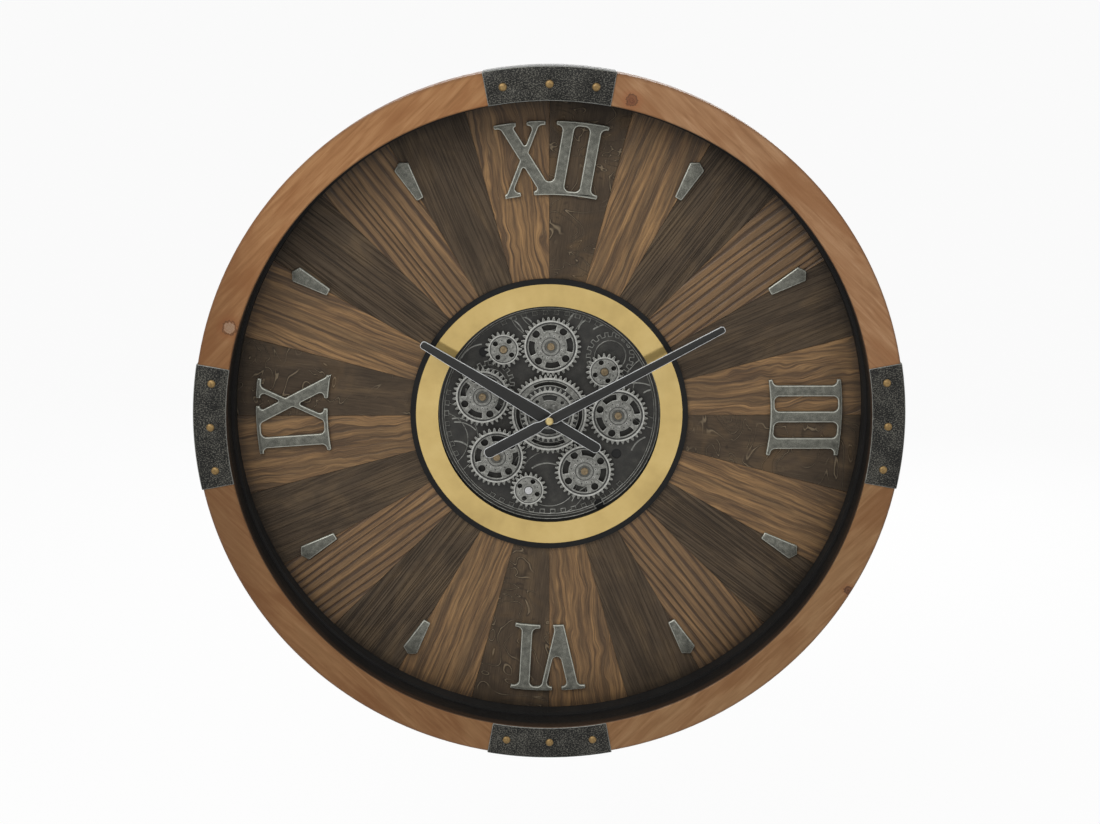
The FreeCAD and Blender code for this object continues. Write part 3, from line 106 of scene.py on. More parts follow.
def soft_lamp(name, place, width, height, watts):
    """A soft rectangular lamp that shines at the middle of the clock."""
    data = bpy.data.lights.new(name, "AREA")
    data.shape = "RECTANGLE"
    data.size = width
    data.size_y = height
    data.energy = watts
    lamp = bpy.data.objects.new(name, data)
    bpy.context.scene.collection.objects.link(lamp)
    lamp.location = place
    aim(lamp, (0, -0.04, -0.28))


class Output:
    """One output of a node. Sums, products and the like put the Math node for them in its tree."""

    def __init__(self, tree, socket):
        self.tree = tree
        self.socket = socket

    def __add__(self, other):
        return calc("ADD", self, other)

    def __sub__(self, other):
        return calc("SUBTRACT", self, other)

    def __rsub__(self, other):
        return calc("SUBTRACT", other, self)

    def __mul__(self, other):
        return calc("MULTIPLY", self, other)

    def __truediv__(self, other):
        return calc("DIVIDE", self, other)

    def __rtruediv__(self, other):
        return calc("DIVIDE", other, self)


def put(kind, values=None, out=0, tree=None, **settings):
    """Add a node and give back one of its outputs. Each input is a plain value, an output or a list
    of outputs. A node that has no single output among its inputs is told its tree."""
    values = values or {}
    tree = tree or next(value.tree for value in values.values() if isinstance(value, Output))
    node = tree.nodes.new(kind)
    for key, value in settings.items():
        setattr(node, key, value)
    for key, value in values.items():
        for item in value if isinstance(value, list) else [value]:
            if isinstance(item, Output):
                tree.links.new(item.socket, node.inputs[key])
            else:
                node.inputs[key].default_value = item
    return Output(tree, node.outputs[out]) if node.outputs else None


def calc(operation, first, second=0.0, third=0.0):
    return put("ShaderNodeMath", {0: first, 1: second, 2: third}, operation=operation)


def vector(operation, first, second=(0, 0, 0), out=0):
    return put("ShaderNodeVectorMath", {0: first, 1: second}, out, operation=operation)


def xyz(across, up, out):
    return put("ShaderNodeCombineXYZ", {0: across, 1: up, 2: out})


def along(place, axis):
    return put("ShaderNodeSeparateXYZ", {0: place}, axis)


def seen_by_gloss(tree):
    """1 for the camera, and for light that metal or glass throws back; else 0."""
    eye, gloss, glass = (put("ShaderNodeLightPath", out="Is %s Ray" % kind, tree=tree)
                         for kind in ("Camera", "Glossy", "Transmission"))
    return calc("MAXIMUM", calc("MAXIMUM", eye, gloss), glass)


def emptied(owner):
    """The node tree of a world or material, with nothing in it."""
    owner.use_nodes = True
    owner.node_tree.nodes.clear()
    return owner.node_tree


def studio():
    """White surroundings, soft lamps and a pale floor below the hanging clock."""
    world = bpy.data.worlds.new("studio")
    bpy.context.scene.world = world
    tree = emptied(world)
    dim = put("ShaderNodeBackground", {"Color": (1, 1, 1, 1), "Strength": 0.42}, tree=tree)
    white = put("ShaderNodeBackground", {"Color": (1, 1, 1, 1), "Strength": 1.0}, tree=tree)
    mix = put("ShaderNodeMixShader", {0: seen_by_gloss(tree), 1: dim, 2: white})
    put("ShaderNodeOutputWorld", {"Surface": mix})

    soft_lamp("key_lamp", (-0.75, -1.25, 0.95), 1.3, 0.9, 19)
    soft_lamp("side_lamp", (1.5, -1.5, 0.5), 1.2, 1.2, 5)
    soft_lamp("back_lamp", (0.3, 1.7, 0.25), 1.4, 1.0, 14)

    reach, level = 30, -0.8
    corners = [(-reach, -reach, level), (reach, -reach, level), (reach, reach, level), (-reach, reach, level)]
    mesh = new_mesh("floor", corners, [(0, 1, 2, 3)])
    floor = shown("floor", mesh)
    paint = bpy.data.materials.new("pale_floor")
    tree = emptied(paint)
    matt = put("ShaderNodeBsdfDiffuse", {"Color": (0.9, 0.9, 0.9, 1)}, tree=tree)
    glow = put("ShaderNodeEmission", {"Color": (1, 1, 1, 1), "Strength": 1.0}, tree=tree)
    mix = put("ShaderNodeMixShader", {0: seen_by_gloss(tree) * 0.93, 1: matt, 2: glow})
    put("ShaderNodeOutputMaterial", {"Surface": mix})
    mesh.materials.append(paint)


# ---------------------------------------------------------------- finishes

FINISH = {}


def blank(name, **constants):
    """A new finish with a Principled shader; constants are set on the shader's own sockets."""
    material = FINISH[name] = bpy.data.materials.new(name)
    material.use_nodes = True
    shader = material.node_tree.nodes["Principled BSDF"]
    for key, value in constants.items():
        shader.inputs[key.replace("_", " ").title().replace("Ior", "IOR")].default_value = value
    return material


def coated(material, colour, rough, height, depth):
    """Give the shader its colour, roughness and bump: a height of 0 to 1 stands for a depth in
    millimetres."""
    tree = material.node_tree
    bump = put("ShaderNodeBump", {"Height": height, "Distance": depth / 1000, "Strength": 1.0})
    for key, value in (("Base Color", colour), ("Roughness", rough), ("Normal", bump)):
        tree.links.new(value.socket, tree.nodes["Principled BSDF"].inputs[key])


def here(material):
    """Object coordinates in millimetres, about the middle of the dial."""
    place = put("ShaderNodeTexCoord", out="Object", tree=material.node_tree)
    return put("ShaderNodeMapping", {"Vector": place, "Location": (0, 0, -HUB_HEIGHT * 1000),
                                     "Scale": (1000, 1000, 1000)})


def noise(place, size, detail, rough, twist=0.0, stretch=(1, 1, 1)):
    """Soft noise with features of a size in millimetres, longer along an axis where stretch is larger."""
    scale = tuple(1 / (size * axis) for axis in stretch)
    scaled = put("ShaderNodeMapping", {"Vector": place, "Scale": scale})
    return put("ShaderNodeTexNoise", {"Vector": scaled, "Scale": 1.0, "Detail": detail, "Roughness": rough,
                                      "Distortion": twist}, "Fac")


def spread(value, low, high, to_low=0.0, to_high=1.0, smooth=True):
    """The value, taken from low to high onto to_low to to_high."""
    return put("ShaderNodeMapRange", {"Value": value, "From Min": low, "From Max": high, "To Min": to_low,
                                      "To Max": to_high}, "Result",
               interpolation_type="SMOOTHSTEP" if smooth else "LINEAR")


def tones(*stops):
    """Colour stops of (position, red, green, blue), in screen colours."""
    return [(position, tone(*colour)) for position, *colour in stops]


def shades(value, stops, steps=False):
    """A colour ramp through (position, colour) stops, blended or in steps."""
    ramp = value.tree.nodes.new("ShaderNodeValToRGB")
    value.tree.links.new(value.socket, ramp.inputs["Fac"])
    ramp.color_ramp.interpolation = "CONSTANT" if steps else "LINEAR"
    elements = ramp.color_ramp.elements
    elements[0].position, elements[0].color = stops[0]
    elements[1].position, elements[1].color = stops[-1]
    for position, colour in stops[1:-1]:
        elements.new(position).color = colour
    return Output(value.tree, ramp.outputs["Color"])


def blend(share, first, second, mode="MIX"):
    return put("ShaderNodeMix", {0: share, 6: first, 7: second}, 2, data_type="RGBA", blend_type=mode)


def tinted(colour, share, red, green, blue):
    """A colour that gives way by a share to a screen colour."""
    return blend(share, colour, tone(red, green, blue))


def mottled(name, stops, blotch, grit, rough, gritty=0.5, depth=0.03, **constants):
    """A cast, moulded or painted finish: blotches, fine grit, uneven gloss and a little bump. Blotch,
    grit and depth are in millimetres, and gritty is the grit's share of the tone."""
    material = blank(name, **constants)
    place = here(material)
    wide = noise(place, blotch, 3, 0.6)
    fine = noise(place, grit, 2, 0.6)
    both = wide * (1 - gritty) + fine * gritty
    coated(material, shades(both, stops), spread(both, 0.3, 0.7, *rough), fine, depth)


def shaded(name, low, middle, high, start=0.35, **kinds):
    """A mottled finish between three screen colours."""
    mottled(name, tones((start, *low), (0.5, *middle), (0.7, *high)), **kinds)


def dial_angle(place):
    """Clockwise turns from 12 o'clock, 0 to 1, and the distance from the hub in millimetres."""
    across, up = along(place, "X"), along(place, "Z")
    share = calc("FRACT", calc("ARCTAN2", across, up) / (2 * math.pi))
    return share, calc("SQRT", across * across + up * up)


def turned_place(place, share, count):
    """Each of count equal sectors turned to 12 o'clock, with its number."""
    number = calc("FLOOR", share * count)
    angle = (number + 0.5) * (2 * math.pi / count)
    turned = put("ShaderNodeVectorRotate", {"Vector": place, "Axis": (0, 1, 0), "Angle": angle},
                 rotation_type="AXIS_ANGLE", invert=True)
    return turned, number


def moved_by(place, number, step):
    """The place shifted by a step for each number, so that no two pieces show the same grain."""
    return vector("ADD", place, put("ShaderNodeVectorMath", {0: step, "Scale": number}, operation="SCALE"))


# Knots in the wooden ring: how far right of and above the hub, radius, and the colour of the heart
KNOTS = ((66.9, 273.5, 4.6, (92, 50, 30)), (-267, 85.5, 5.6, (176, 154, 136)),
         (258.1, -145.8, 3.2, (74, 38, 24)))

# How each arc of the ring, clockwise from the upper right, differs in tone from the wood, with painted
# shade that makes the two lower arcs darker: linear factors
ARC_TONES_AND_SHADE = [(0.0, (1.0, 1.06, 1.18, 1)), (0.25, (0.75, 0.78, 0.76, 1)), (0.5, (0.66, 0.64, 0.57, 1)),
             (0.75, (0.97, 0.94, 0.86, 1))]


def frame_wood():
    """Straight-grained wood sawn along each arc's chord, with three knots. Painted shade makes the lower arcs
    and the left side darker and darkens the inner wall, which turns near-black deeper in.
    """
    material = blank("frame_wood", specular_ior_level=0.3)
    place = here(material)
    share, radius = dial_angle(place)
    plank, number = turned_place(place, share, ARCS)
    plank = moved_by(plank, number, (310, 47, 83))
    wide = noise(plank, 22, 2, 0.5, 0.6, (3, 1, 1))
    streak = noise(plank, 3.4, 3, 0.55, 0.7, (12, 1.5, 1))
    fibre = noise(plank, 0.5, 3, 0.7, 0, (18, 1, 1))
    colour = shades(streak, tones((0.28, 138, 96, 60), (0.45, 151, 108, 70), (0.58, 160, 117, 78),
                                  (0.74, 171, 130, 92)))
    colour = tinted(colour, spread(wide, 0.46, 0.68, 0, 0.7), 136, 90, 52)
    colour = tinted(colour, spread(wide, 0.46, 0.30, 0, 0.35), 168, 129, 90)
    colour = tinted(colour, spread(fibre, 0.57, 0.74, 0, 0.45), 108, 72, 43)
    colour = tinted(colour, spread(fibre, 0.36, 0.24, 0, 0.30), 190, 154, 118)
    wobble = noise(place, 2.2, 2, 0.6, 0.5) - 0.5
    for across, up, size, heart in KNOTS:
        flat = vector("MULTIPLY", vector("ADD", place, (-across, 0, -up)), (1, 0, 1))
        away = calc("MULTIPLY_ADD", wobble, 5.0, vector("LENGTH", flat, out="Value"))
        colour = tinted(colour, spread(away, size, size * 2.4, 0.5, 0.0), 142, 84, 48)
        rings = spread(calc("SINE", away * 3.6), -1, 1, 0.5, 0.9)
        colour = tinted(colour, spread(away, size * 0.7, size, 1.0, 0.0) * rings, *heart)
        rind = spread(calc("ABSOLUTE", away - size), 0.25, 0.9, 0.75, 0)
        colour = tinted(colour, rind, 70, 42, 26)
    # Each arc's own tone, darker on the lower arcs as painted shade
    arc_tone_and_shade = shades(calc("MULTIPLY_ADD", number, 1 / ARCS, 0.5 / ARCS), ARC_TONES_AND_SHADE, steps=True)
    colour = blend(1.0, colour, arc_tone_and_shade, "MULTIPLY")
    # Painted shade: the ring darkens towards its left side.
    colour = tinted(colour, spread(along(place, "X"), -215, -285, 0, 0.45), 92, 60, 32)
    colour = tinted(colour, spread(radius, RING_OUTER - 3, RING_OUTER, 0, 0.5), 96, 62, 38)
    depth = along(place, "Y") + float(RING_FRONT)
    wall = spread(radius, RING_INNER + 0.1, RING_INNER - 0.2, 0, 1, False)
    # Painted shade on the ring's inner wall, darker away from its front edge; deeper in, the wall turns
    # near-black.
    colour = tinted(colour, wall * spread(depth, 0, 2.5, 0.7, 0.97), 40, 30, 23)
    colour = tinted(colour, wall * spread(depth, 6, 12, 0, 1), 15, 14, 13)
    height = calc("MULTIPLY_ADD", fibre, 0.6, streak * 0.4)
    coated(material, colour, spread(streak, 0.3, 0.7, 0.64, 0.5), height, 0.1)


def stave_place(material):
    """A place in the grain of its own stave, the stave's number and the distance from the hub."""
    place = here(material)
    share, radius = dial_angle(place)
    stave, number = turned_place(place, share, STAVES)
    return moved_by(stave, number, (37, 11, 171)), number, radius


def of_kind(number, kind):
    """1 on every sixth stave, counted from kind."""
    return calc("COMPARE", calc("MODULO", number, 6.0), kind, 0.25)


def painted_frame_shade(colour, radius):
    """Painted shade: the staves darken towards the frame, where the ring shades them."""
    colour = tinted(colour, spread(radius, 225, 268, 0, 0.18), 34, 28, 22)
    return tinted(colour, spread(radius, 260, 271, 0, 0.55), 18, 15, 12)


def dark_veneer():
    """Dark staves in three cuts: crinkled and knotty, straight and fine, and plain."""
    material = blank("dark_veneer", specular_ior_level=0.2)
    stave, number, radius = stave_place(material)
    crinkled = of_kind(number, 0)
    straight = calc("MAXIMUM", of_kind(number, 2), of_kind(number, 4) * 0.6)
    cloud = noise(stave, 17, 3, 0.6, 0.8, (1, 1, 3))
    colour = shades(cloud, tones((0.32, 64, 53, 41), (0.50, 76, 63, 49), (0.68, 92, 76, 57)))
    fibre = noise(stave, 0.7, 4, 0.7, 0.2, (1, 1, 30))
    colour = tinted(colour, spread(fibre, 0.48, 0.66, 0, 0.5), 46, 39, 31)
    colour = tinted(colour, spread(fibre, 0.42, 0.30, 0, 0.3), 112, 98, 79)
    comb = noise(stave, 1.1, 2, 0.6, 0.03, (1, 1, 130))
    groove = straight * spread(comb, 0.52, 0.60)
    colour = tinted(colour, groove * 0.6, 42, 35, 28)
    crest = straight * spread(comb, 0.47, 0.42)
    colour = tinted(colour, crest * 0.28, 104, 90, 72)
    turns = noise(stave, 34, 2, 0.5, 1.1, (1.7, 1, 1))
    rings = calc("ABSOLUTE", calc("SINE", turns * 30.0))
    broken = spread(noise(stave, 30, 2, 0.5, 0.3), 0.38, 0.52)
    # Painted light on the crinkles: a highlight along each crest, with painted shade in the grooves beside
    # it.
    lit_crest = spread(rings, 0.20, 0.04) * broken * crinkled
    colour = tinted(colour, lit_crest * 0.6, 138, 123, 100)
    shade = spread(rings, 0.6, 0.2) * broken * crinkled
    colour = tinted(colour, (shade - lit_crest) * 0.7, 46, 38, 30)
    colour = tinted(colour, crinkled * spread(turns, 0.54, 0.68, 0, 0.4), 104, 82, 56)
    height = calc("MULTIPLY_ADD", turns * crinkled, 1.6, lit_crest * 0.9 - groove)
    height = calc("MULTIPLY_ADD", fibre, -0.6, height)
    coated(material, painted_frame_shade(colour, radius), spread(fibre, 0.3, 0.7, 0.46, 0.62), height, 0.4)


def light_veneer():
    """Light staves in three cuts: streaked, deeply striped, and wavy."""
    material = blank("light_veneer", specular_ior_level=0.35)
    stave, number, radius = stave_place(material)
    striped = of_kind(number, 3)
    wavy = of_kind(number, 5)
    sway = noise(stave, 30, 2, 0.5, 0.3, (1, 1, 1.6))
    push = (sway - 0.5) * spread(wavy, 0, 1, 5, 22, False)
    bent = vector("ADD", stave, xyz(push, 0.0, 0.0))
    streak = noise(bent, 2.6, 4, 0.66, 0.2, (1, 1, 24))
    wide = noise(bent, 12, 2, 0.5, 0.4, (1, 1, 8))
    fibre = noise(bent, 0.55, 3, 0.65, 0, (1, 1, 34))
    colour = shades(streak, tones((0.34, 80, 61, 42), (0.44, 104, 79, 53), (0.54, 132, 101, 66),
                                  (0.68, 158, 123, 81)))
    colour = tinted(colour, spread(wide, 0.42, 0.66, 0, 0.6), 92, 72, 49)
    vein = spread(noise(bent, 4.6, 2, 0.55, 0.25, (1, 1, 30)), 0.55, 0.61)
    vein = vein * spread(striped, 0, 1, 0.55, 0.2, False)
    colour = tinted(colour, vein, 58, 43, 30)
    drift = noise(stave, 30, 2, 0.5, 0, (1, 1, 9))
    stripe = calc("FRACT", calc("MULTIPLY_ADD", drift, 2.6, along(stave, "X") / 6.8))
    valley = striped * spread(calc("ABSOLUTE", stripe - 0.5), 0.24, 0.06)
    colour = tinted(colour, striped * 0.4, 122, 95, 66)
    colour = tinted(colour, valley * 0.78, 52, 37, 27)
    colour = tinted(colour, spread(fibre, 0.52, 0.68, 0, 0.4), 62, 48, 34)
    colour = tinted(colour, spread(fibre, 0.40, 0.28, 0, 0.35), 158, 134, 98)
    height = 1.0 - calc("MAXIMUM", valley, vein * 0.6)
    height = calc("MULTIPLY_ADD", fibre, -0.5, height)
    coated(material, painted_frame_shade(colour, radius), spread(streak, 0.3, 0.7, 0.58, 0.44), height, 0.6)


def strap_steel():
    """Black steel, stippled with bright rubbed specks in smoky patches."""
    material = blank("strap_steel", metallic=0.1, specular_ior_level=0.25)
    place = here(material)
    patch = noise(place, 15, 3, 0.6, 0.5)
    speck = noise(place, 0.85, 2, 0.7, 0, (1.6, 1, 1))
    colour = shades(patch, tones((0.36, 13, 13, 11), (0.50, 18, 18, 16), (0.66, 26, 26, 23)))
    lit = calc("MULTIPLY_ADD", patch, 0.16, speck * 0.84)
    colour = tinted(colour, spread(lit, 0.50, 0.60, 0, 0.85), 104, 102, 94)
    coated(material, colour, spread(speck, 0.3, 0.7, 0.6, 0.42), speck, 0.12)


def finishes():
    """Every finish of the clock, by the record's slot or by the name of its worn edge."""
    frame_wood()
    dark_veneer()
    light_veneer()
    strap_steel()
    shaded("strap_rim", (84, 85, 82), (120, 121, 116), (158, 159, 152),
           blotch=3, grit=0.7, gritty=0.6, rough=(0.4, 0.55), metallic=0.3)
    shaded("back_ring_black", (22, 21, 20), (27, 26, 25), (34, 33, 31),
           blotch=20, grit=0.7, rough=(0.6, 0.75), depth=0.05, specular_ior_level=0.2)
    shaded("nail_brass", (92, 72, 44), (134, 108, 66), (166, 140, 90),
           blotch=1.6, grit=0.3, rough=(0.34, 0.55), metallic=0.6)
    shaded("screw_steel", (120, 121, 124), (150, 151, 154), (176, 177, 180),
           blotch=2, grit=0.2, rough=(0.28, 0.45), metallic=1.0)
    shaded("board_wood", (116, 88, 60), (146, 114, 80), (170, 138, 102), 0.3,
           blotch=5, grit=0.6, gritty=0.7, rough=(0.75, 0.9), depth=0.08)
    mottled("pewter_face", tones((0.34, 54, 54, 49), (0.45, 84, 84, 77), (0.55, 111, 111, 102),
                                 (0.68, 148, 148, 138)),
            blotch=5, grit=0.45, gritty=0.62, rough=(0.4, 0.6), depth=0.08, metallic=0.55)
    shaded("pewter_edge", (136, 137, 128), (168, 169, 159), (198, 199, 188),
           blotch=4, grit=0.5, rough=(0.34, 0.5), metallic=0.6)
    shaded("bezel_black", (10, 10, 10), (15, 15, 15), (24, 24, 23),
           blotch=12, grit=0.5, rough=(0.4, 0.55), depth=0.02, specular_ior_level=0.2)
    shaded("mirror_gold", (184, 158, 98), (200, 173, 109), (211, 185, 121), 0.3,
           blotch=50, grit=6, gritty=0.15, rough=(0.09, 0.13), depth=0.0, metallic=0.55)
    shaded("module_black", (16, 16, 16), (22, 22, 22), (30, 30, 30),
           blotch=10, grit=0.4, rough=(0.5, 0.65), specular_ior_level=0.3)
    mottled("relief_gunmetal", tones((0.34, 29, 29, 26), (0.48, 42, 41, 38), (0.6, 56, 55, 51),
                                     (0.72, 80, 79, 73)),
            blotch=9, grit=0.6, gritty=0.4, rough=(0.42, 0.6), depth=0.08, metallic=0.3)
    shaded("relief_edge", (96, 96, 92), (140, 140, 134), (176, 176, 170),
           blotch=3, grit=0.5, rough=(0.4, 0.55), metallic=0.4)
    mottled("gear_silver", tones((0.32, 66, 66, 62), (0.44, 108, 108, 103), (0.56, 145, 145, 139),
                                 (0.70, 182, 182, 175)),
            blotch=2.6, grit=0.4, gritty=0.6, rough=(0.4, 0.6), depth=0.09, metallic=0.45)
    shaded("gear_edge", (140, 140, 135), (178, 178, 172), (208, 208, 202),
           blotch=3, grit=0.4, rough=(0.36, 0.5), metallic=0.5)
    shaded("gear_shade", (30, 30, 29), (44, 44, 42), (66, 66, 62),
           blotch=2.4, grit=0.4, rough=(0.5, 0.65), metallic=0.2)
    shaded("well_floor", (64, 64, 60), (92, 92, 87), (120, 120, 114),
           blotch=2, grit=0.4, rough=(0.5, 0.65), metallic=0.2)
    shaded("pin_brass", (92, 78, 60), (130, 114, 88), (170, 152, 122),
           blotch=1.2, grit=0.3, rough=(0.34, 0.52), metallic=0.7)
    shaded("shaft_steel", (160, 160, 160), (186, 186, 186), (208, 208, 208),
           blotch=1.5, grit=0.2, rough=(0.2, 0.34), metallic=1.0)
    shaded("hand_back", (238, 232, 216), (242, 236, 222), (246, 240, 228),
           blotch=8, grit=0.3, rough=(0.08, 0.12), depth=0.0, metallic=1.0)
    shaded("hand_black", (31, 31, 30), (36, 36, 35), (43, 43, 41),
           blotch=20, grit=0.25, gritty=0.4, rough=(0.5, 0.6), depth=0.01, specular_ior_level=0.3)
    shaded("hand_edge", (176, 178, 178), (204, 206, 206), (224, 226, 226),
           blotch=8, grit=0.3, rough=(0.34, 0.42), depth=0.0, metallic=0.1)
    shaded("bush_brass", (170, 146, 92), (200, 178, 122), (220, 202, 150),
           blotch=2, grit=0.3, rough=(0.26, 0.4), metallic=0.8)
    shaded("movement_black", (22, 22, 22), (29, 29, 29), (40, 40, 40),
           blotch=8, grit=0.35, gritty=0.7, rough=(0.55, 0.7), depth=0.05, specular_ior_level=0.3)
    shaded("knob_white", (206, 205, 198), (220, 219, 212), (230, 229, 223),
           blotch=6, grit=0.4, rough=(0.4, 0.52), depth=0.01)
    shaded("cell_jacket", (58, 66, 78), (72, 82, 96), (92, 102, 116),
           blotch=9, grit=0.4, rough=(0.25, 0.4), depth=0.01, metallic=0.3)
    shaded("contact_steel", (186, 184, 176), (206, 204, 196), (222, 220, 212),
           blotch=1.6, grit=0.2, rough=(0.22, 0.36), metallic=1.0)


# CAD nodes whose finish isn't named as their slot
NODE_FINISH = {"numeral_twelve": "pewter_face", "numeral_three": "pewter_face",
               "numeral_six": "pewter_face", "numeral_nine": "pewter_face", "hour_bars": "pewter_face",
               "centre_nut": "well_floor", "centre_bush": "well_floor", "hour_tube": "gear_shade"}


# ---------------------------------------------------------------- shaping

def dressed(mesh, *names):
    mesh.materials.clear()
    for name in names:
        mesh.materials.append(FINISH[name])


def new_mesh(name, points, faces):
    mesh = bpy.data.meshes.new(name)
    mesh.from_pydata(points, [], faces)
    mesh.update()
    return mesh


def lathe(name, outline, segments, finish_name, closed=False):
    """A turned piece from (radius, height) points, from the back outward and round to the front.
    A point of radius 0 closes an end; a closed outline is a ring."""
    points = []
    rows = []
    for radius, height in outline:
        if radius == 0:
            rows.append([len(points)] * segments)
            points.append((0, 0, height))
            continue
        rows.append(list(range(len(points), len(points) + segments)))
        for step in range(segments):
            angle = 2 * math.pi * step / segments
            points.append((radius * math.cos(angle), radius * math.sin(angle), height))
    pairs = list(zip(rows, rows[1:])) + ([(rows[-1], rows[0])] if closed else [])
    faces = []
    for lower, upper in pairs:
        for step in range(segments):
            after = (step + 1) % segments
            corners = [lower[step], lower[after], upper[after], upper[step]]
            corners = [corner for place, corner in enumerate(corners) if corner not in corners[:place]]
            if len(corners) > 2:
                faces.append(corners)
    mesh = new_mesh(name, points, faces)
    dressed(mesh, finish_name)
    return mesh


def shown(name, mesh):
    obj = bpy.data.objects.new(name, mesh)
    bpy.context.scene.collection.objects.link(obj)
    return obj


def baked(obj):
    """The object's mesh with its modifiers applied; the object goes."""
    bpy.context.view_layer.update()
    seen = obj.evaluated_get(bpy.context.evaluated_depsgraph_get())
    mesh = bpy.data.meshes.new_from_object(seen)
    mesh.name = obj.name
    bpy.data.objects.remove(obj)
    return mesh


def softened(mesh, width, finish_name, segments=2):
    """A mesh with its sharp edges bevelled, the bevels in a finish of their own."""
    obj = shown(mesh.name, mesh)
    mesh.materials.append(FINISH[finish_name])
    bevel = obj.modifiers.new("bevel", "BEVEL")
    bevel.width = width
    bevel.segments = segments
    bevel.limit_method = "ANGLE"
    bevel.angle_limit = math.radians(35)
    bevel.use_clamp_overlap = False
    bevel.material = len(mesh.materials) - 1
    return baked(obj)


def joined(name, meshes):
    """One mesh of several, each keeping its finishes."""
    whole = bmesh.new()
    slots = list(dict.fromkeys(material for mesh in meshes for material in mesh.materials))
    for mesh in meshes:
        start = len(whole.faces)
        whole.from_mesh(mesh)
        whole.faces.ensure_lookup_table()
        for face in whole.faces[start:]:
            face.material_index = slots.index(mesh.materials[face.material_index])
    result = bpy.data.meshes.new(name)
    whole.to_mesh(result)
    whole.free()
    for material in slots:
        result.materials.append(material)
    return result


def fit(name, mesh, body, slot_name, *stands_for):
    """Stand a finished dial-space mesh in the row frame, shaded smooth, as a piece of a body."""
    mesh.transform(STAND)
    piece = shown(name, mesh)
    mesh.polygons.foreach_set("use_smooth", [True] * len(mesh.polygons))
    mesh.set_sharp_from_angle(angle=math.radians(32))
    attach(piece, body)
    if stands_for:
        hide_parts(*stands_for)


def solid_copy(node, whole_faces=True):
    """A CAD node's mesh in dial space, merged, its triangles joined into whole faces where asked."""
    mesh = NODES[node].data.copy()
    mesh.transform(STAND.inverted())
    work = bmesh.new()
    work.from_mesh(mesh)
    bmesh.ops.remove_doubles(work, verts=work.verts, dist=MERGE)
    if whole_faces:
        bmesh.ops.dissolve_limit(work, angle_limit=math.radians(0.6), verts=work.verts, edges=work.edges)
    work.to_mesh(mesh)
    work.free()
    mesh.name = node
    return mesh


def worn(node, width, face_finish, edge_finish):
    """A CAD node with softened edges in a worn finish."""
    mesh = solid_copy(node)
    dressed(mesh, face_finish)
    mesh = softened(mesh, width, edge_finish)
    slot_name = next(part["material_slot"] for part in frame["record"]["subparts"] if part["node"] == node)
    fit(node + "_finished", mesh, "root", slot_name, node)


# ---------------------------------------------------------------- repeats, by Geometry Nodes

def geometry_tree(name, **labels):
    """An empty Geometry Nodes tree, and its inputs by name: the labels of each kind, and the finish."""
    tree = bpy.data.node_groups.new(name, "GeometryNodeTree")
    labels["Material"] = "finish"
    for kind, words in labels.items():
        for label in words.split():
            tree.interface.new_socket(name=label, in_out="INPUT", socket_type="NodeSocket" + kind)
    tree.interface.new_socket(name="Geometry", in_out="OUTPUT", socket_type="NodeSocketGeometry")
    entry = tree.nodes.new("NodeGroupInput")
    given = {socket.name: Output(tree, socket) for socket in entry.outputs if socket.name}
    return tree, SimpleNamespace(**given)


def ended(tree, geometry, given):
    """End a tree: instances made real, and the finish set."""
    real = put("GeometryNodeRealizeInstances", {"Geometry": geometry})
    painted = put("GeometryNodeSetMaterial", {"Geometry": real, "Material": given.finish})
    put("NodeGroupOutput", {"Geometry": painted})
    return tree


def grown(name, tree, finish_name, **values):
    """The plain mesh that a tree makes from its inputs, given by their names."""
    obj = shown(name, bpy.data.meshes.new(name))
    modifier = obj.modifiers.new("grow", "NODES")
    modifier.node_group = tree
    values["finish"] = FINISH[finish_name]
    for item in tree.interface.items_tree:
        if item.in_out == "INPUT" and item.name in values:
            modifier[item.identifier] = values[item.name]
    return baked(obj)


def from_object(chosen, as_instance=False):
    """The geometry of an object that is one of a tree's inputs."""
    return put("GeometryNodeObjectInfo", {"Object": chosen, "As Instance": as_instance}, "Geometry")


def circle(radius, corners, tree=None):
    return put("GeometryNodeCurvePrimitiveCircle", {"Resolution": corners, "Radius": radius}, tree=tree)


def around(turn, away):
    """A point at an angle and a distance from the axis."""
    return xyz(away * calc("COSINE", turn), away * calc("SINE", turn), 0.0)


def copies(points, piece, turn=None):
    """A copy of a piece at each point, turned by an angle about the axis."""
    values = {"Points": points, "Instance": piece}
    if turn:
        values["Rotation"] = put("FunctionNodeEulerToRotation", {0: xyz(0.0, 0.0, turn)})
    return put("GeometryNodeInstanceOnPoints", values)


def copies_tree():
    """Copies of one piece in a ring about the axis, each turned to face outward."""
    tree, given = geometry_tree("copies_in_a_ring", Object="piece", Int="count",
                                Float="radius start step lift")
    turn = calc("MULTIPLY_ADD", put("GeometryNodeInputIndex", tree=tree), given.step, given.start)
    place = vector("ADD", around(turn, given.radius), xyz(0.0, 0.0, given.lift))
    points = put("GeometryNodePoints", {"Count": given.count, "Position": place})
    return ended(tree, copies(points, from_object(given.piece, True), turn), given)


def ring_of_slots(count, inner, outer, sweep, corners=12):
    """Closed outlines of curved slots, evenly spaced round the axis."""
    index = put("GeometryNodeInputIndex", tree=count.tree)
    back = calc("GREATER_THAN", index, corners - 0.5)
    share = (index - back * float(corners)) / float(corners - 1)
    share = (share - 0.5) * calc("MULTIPLY_ADD", back, -2.0, 1.0)
    away = calc("MULTIPLY_ADD", back, inner - outer, outer)
    strip = circle(1.0, 2 * corners, count.tree)
    shape = put("GeometryNodeSetPosition", {"Geometry": strip, "Position": around(share * sweep, away)})
    points = put("GeometryNodePoints", {"Count": count})
    many = copies(points, shape, index * (2 * math.pi / count))
    return put("GeometryNodeRealizeInstances", {"Geometry": many})


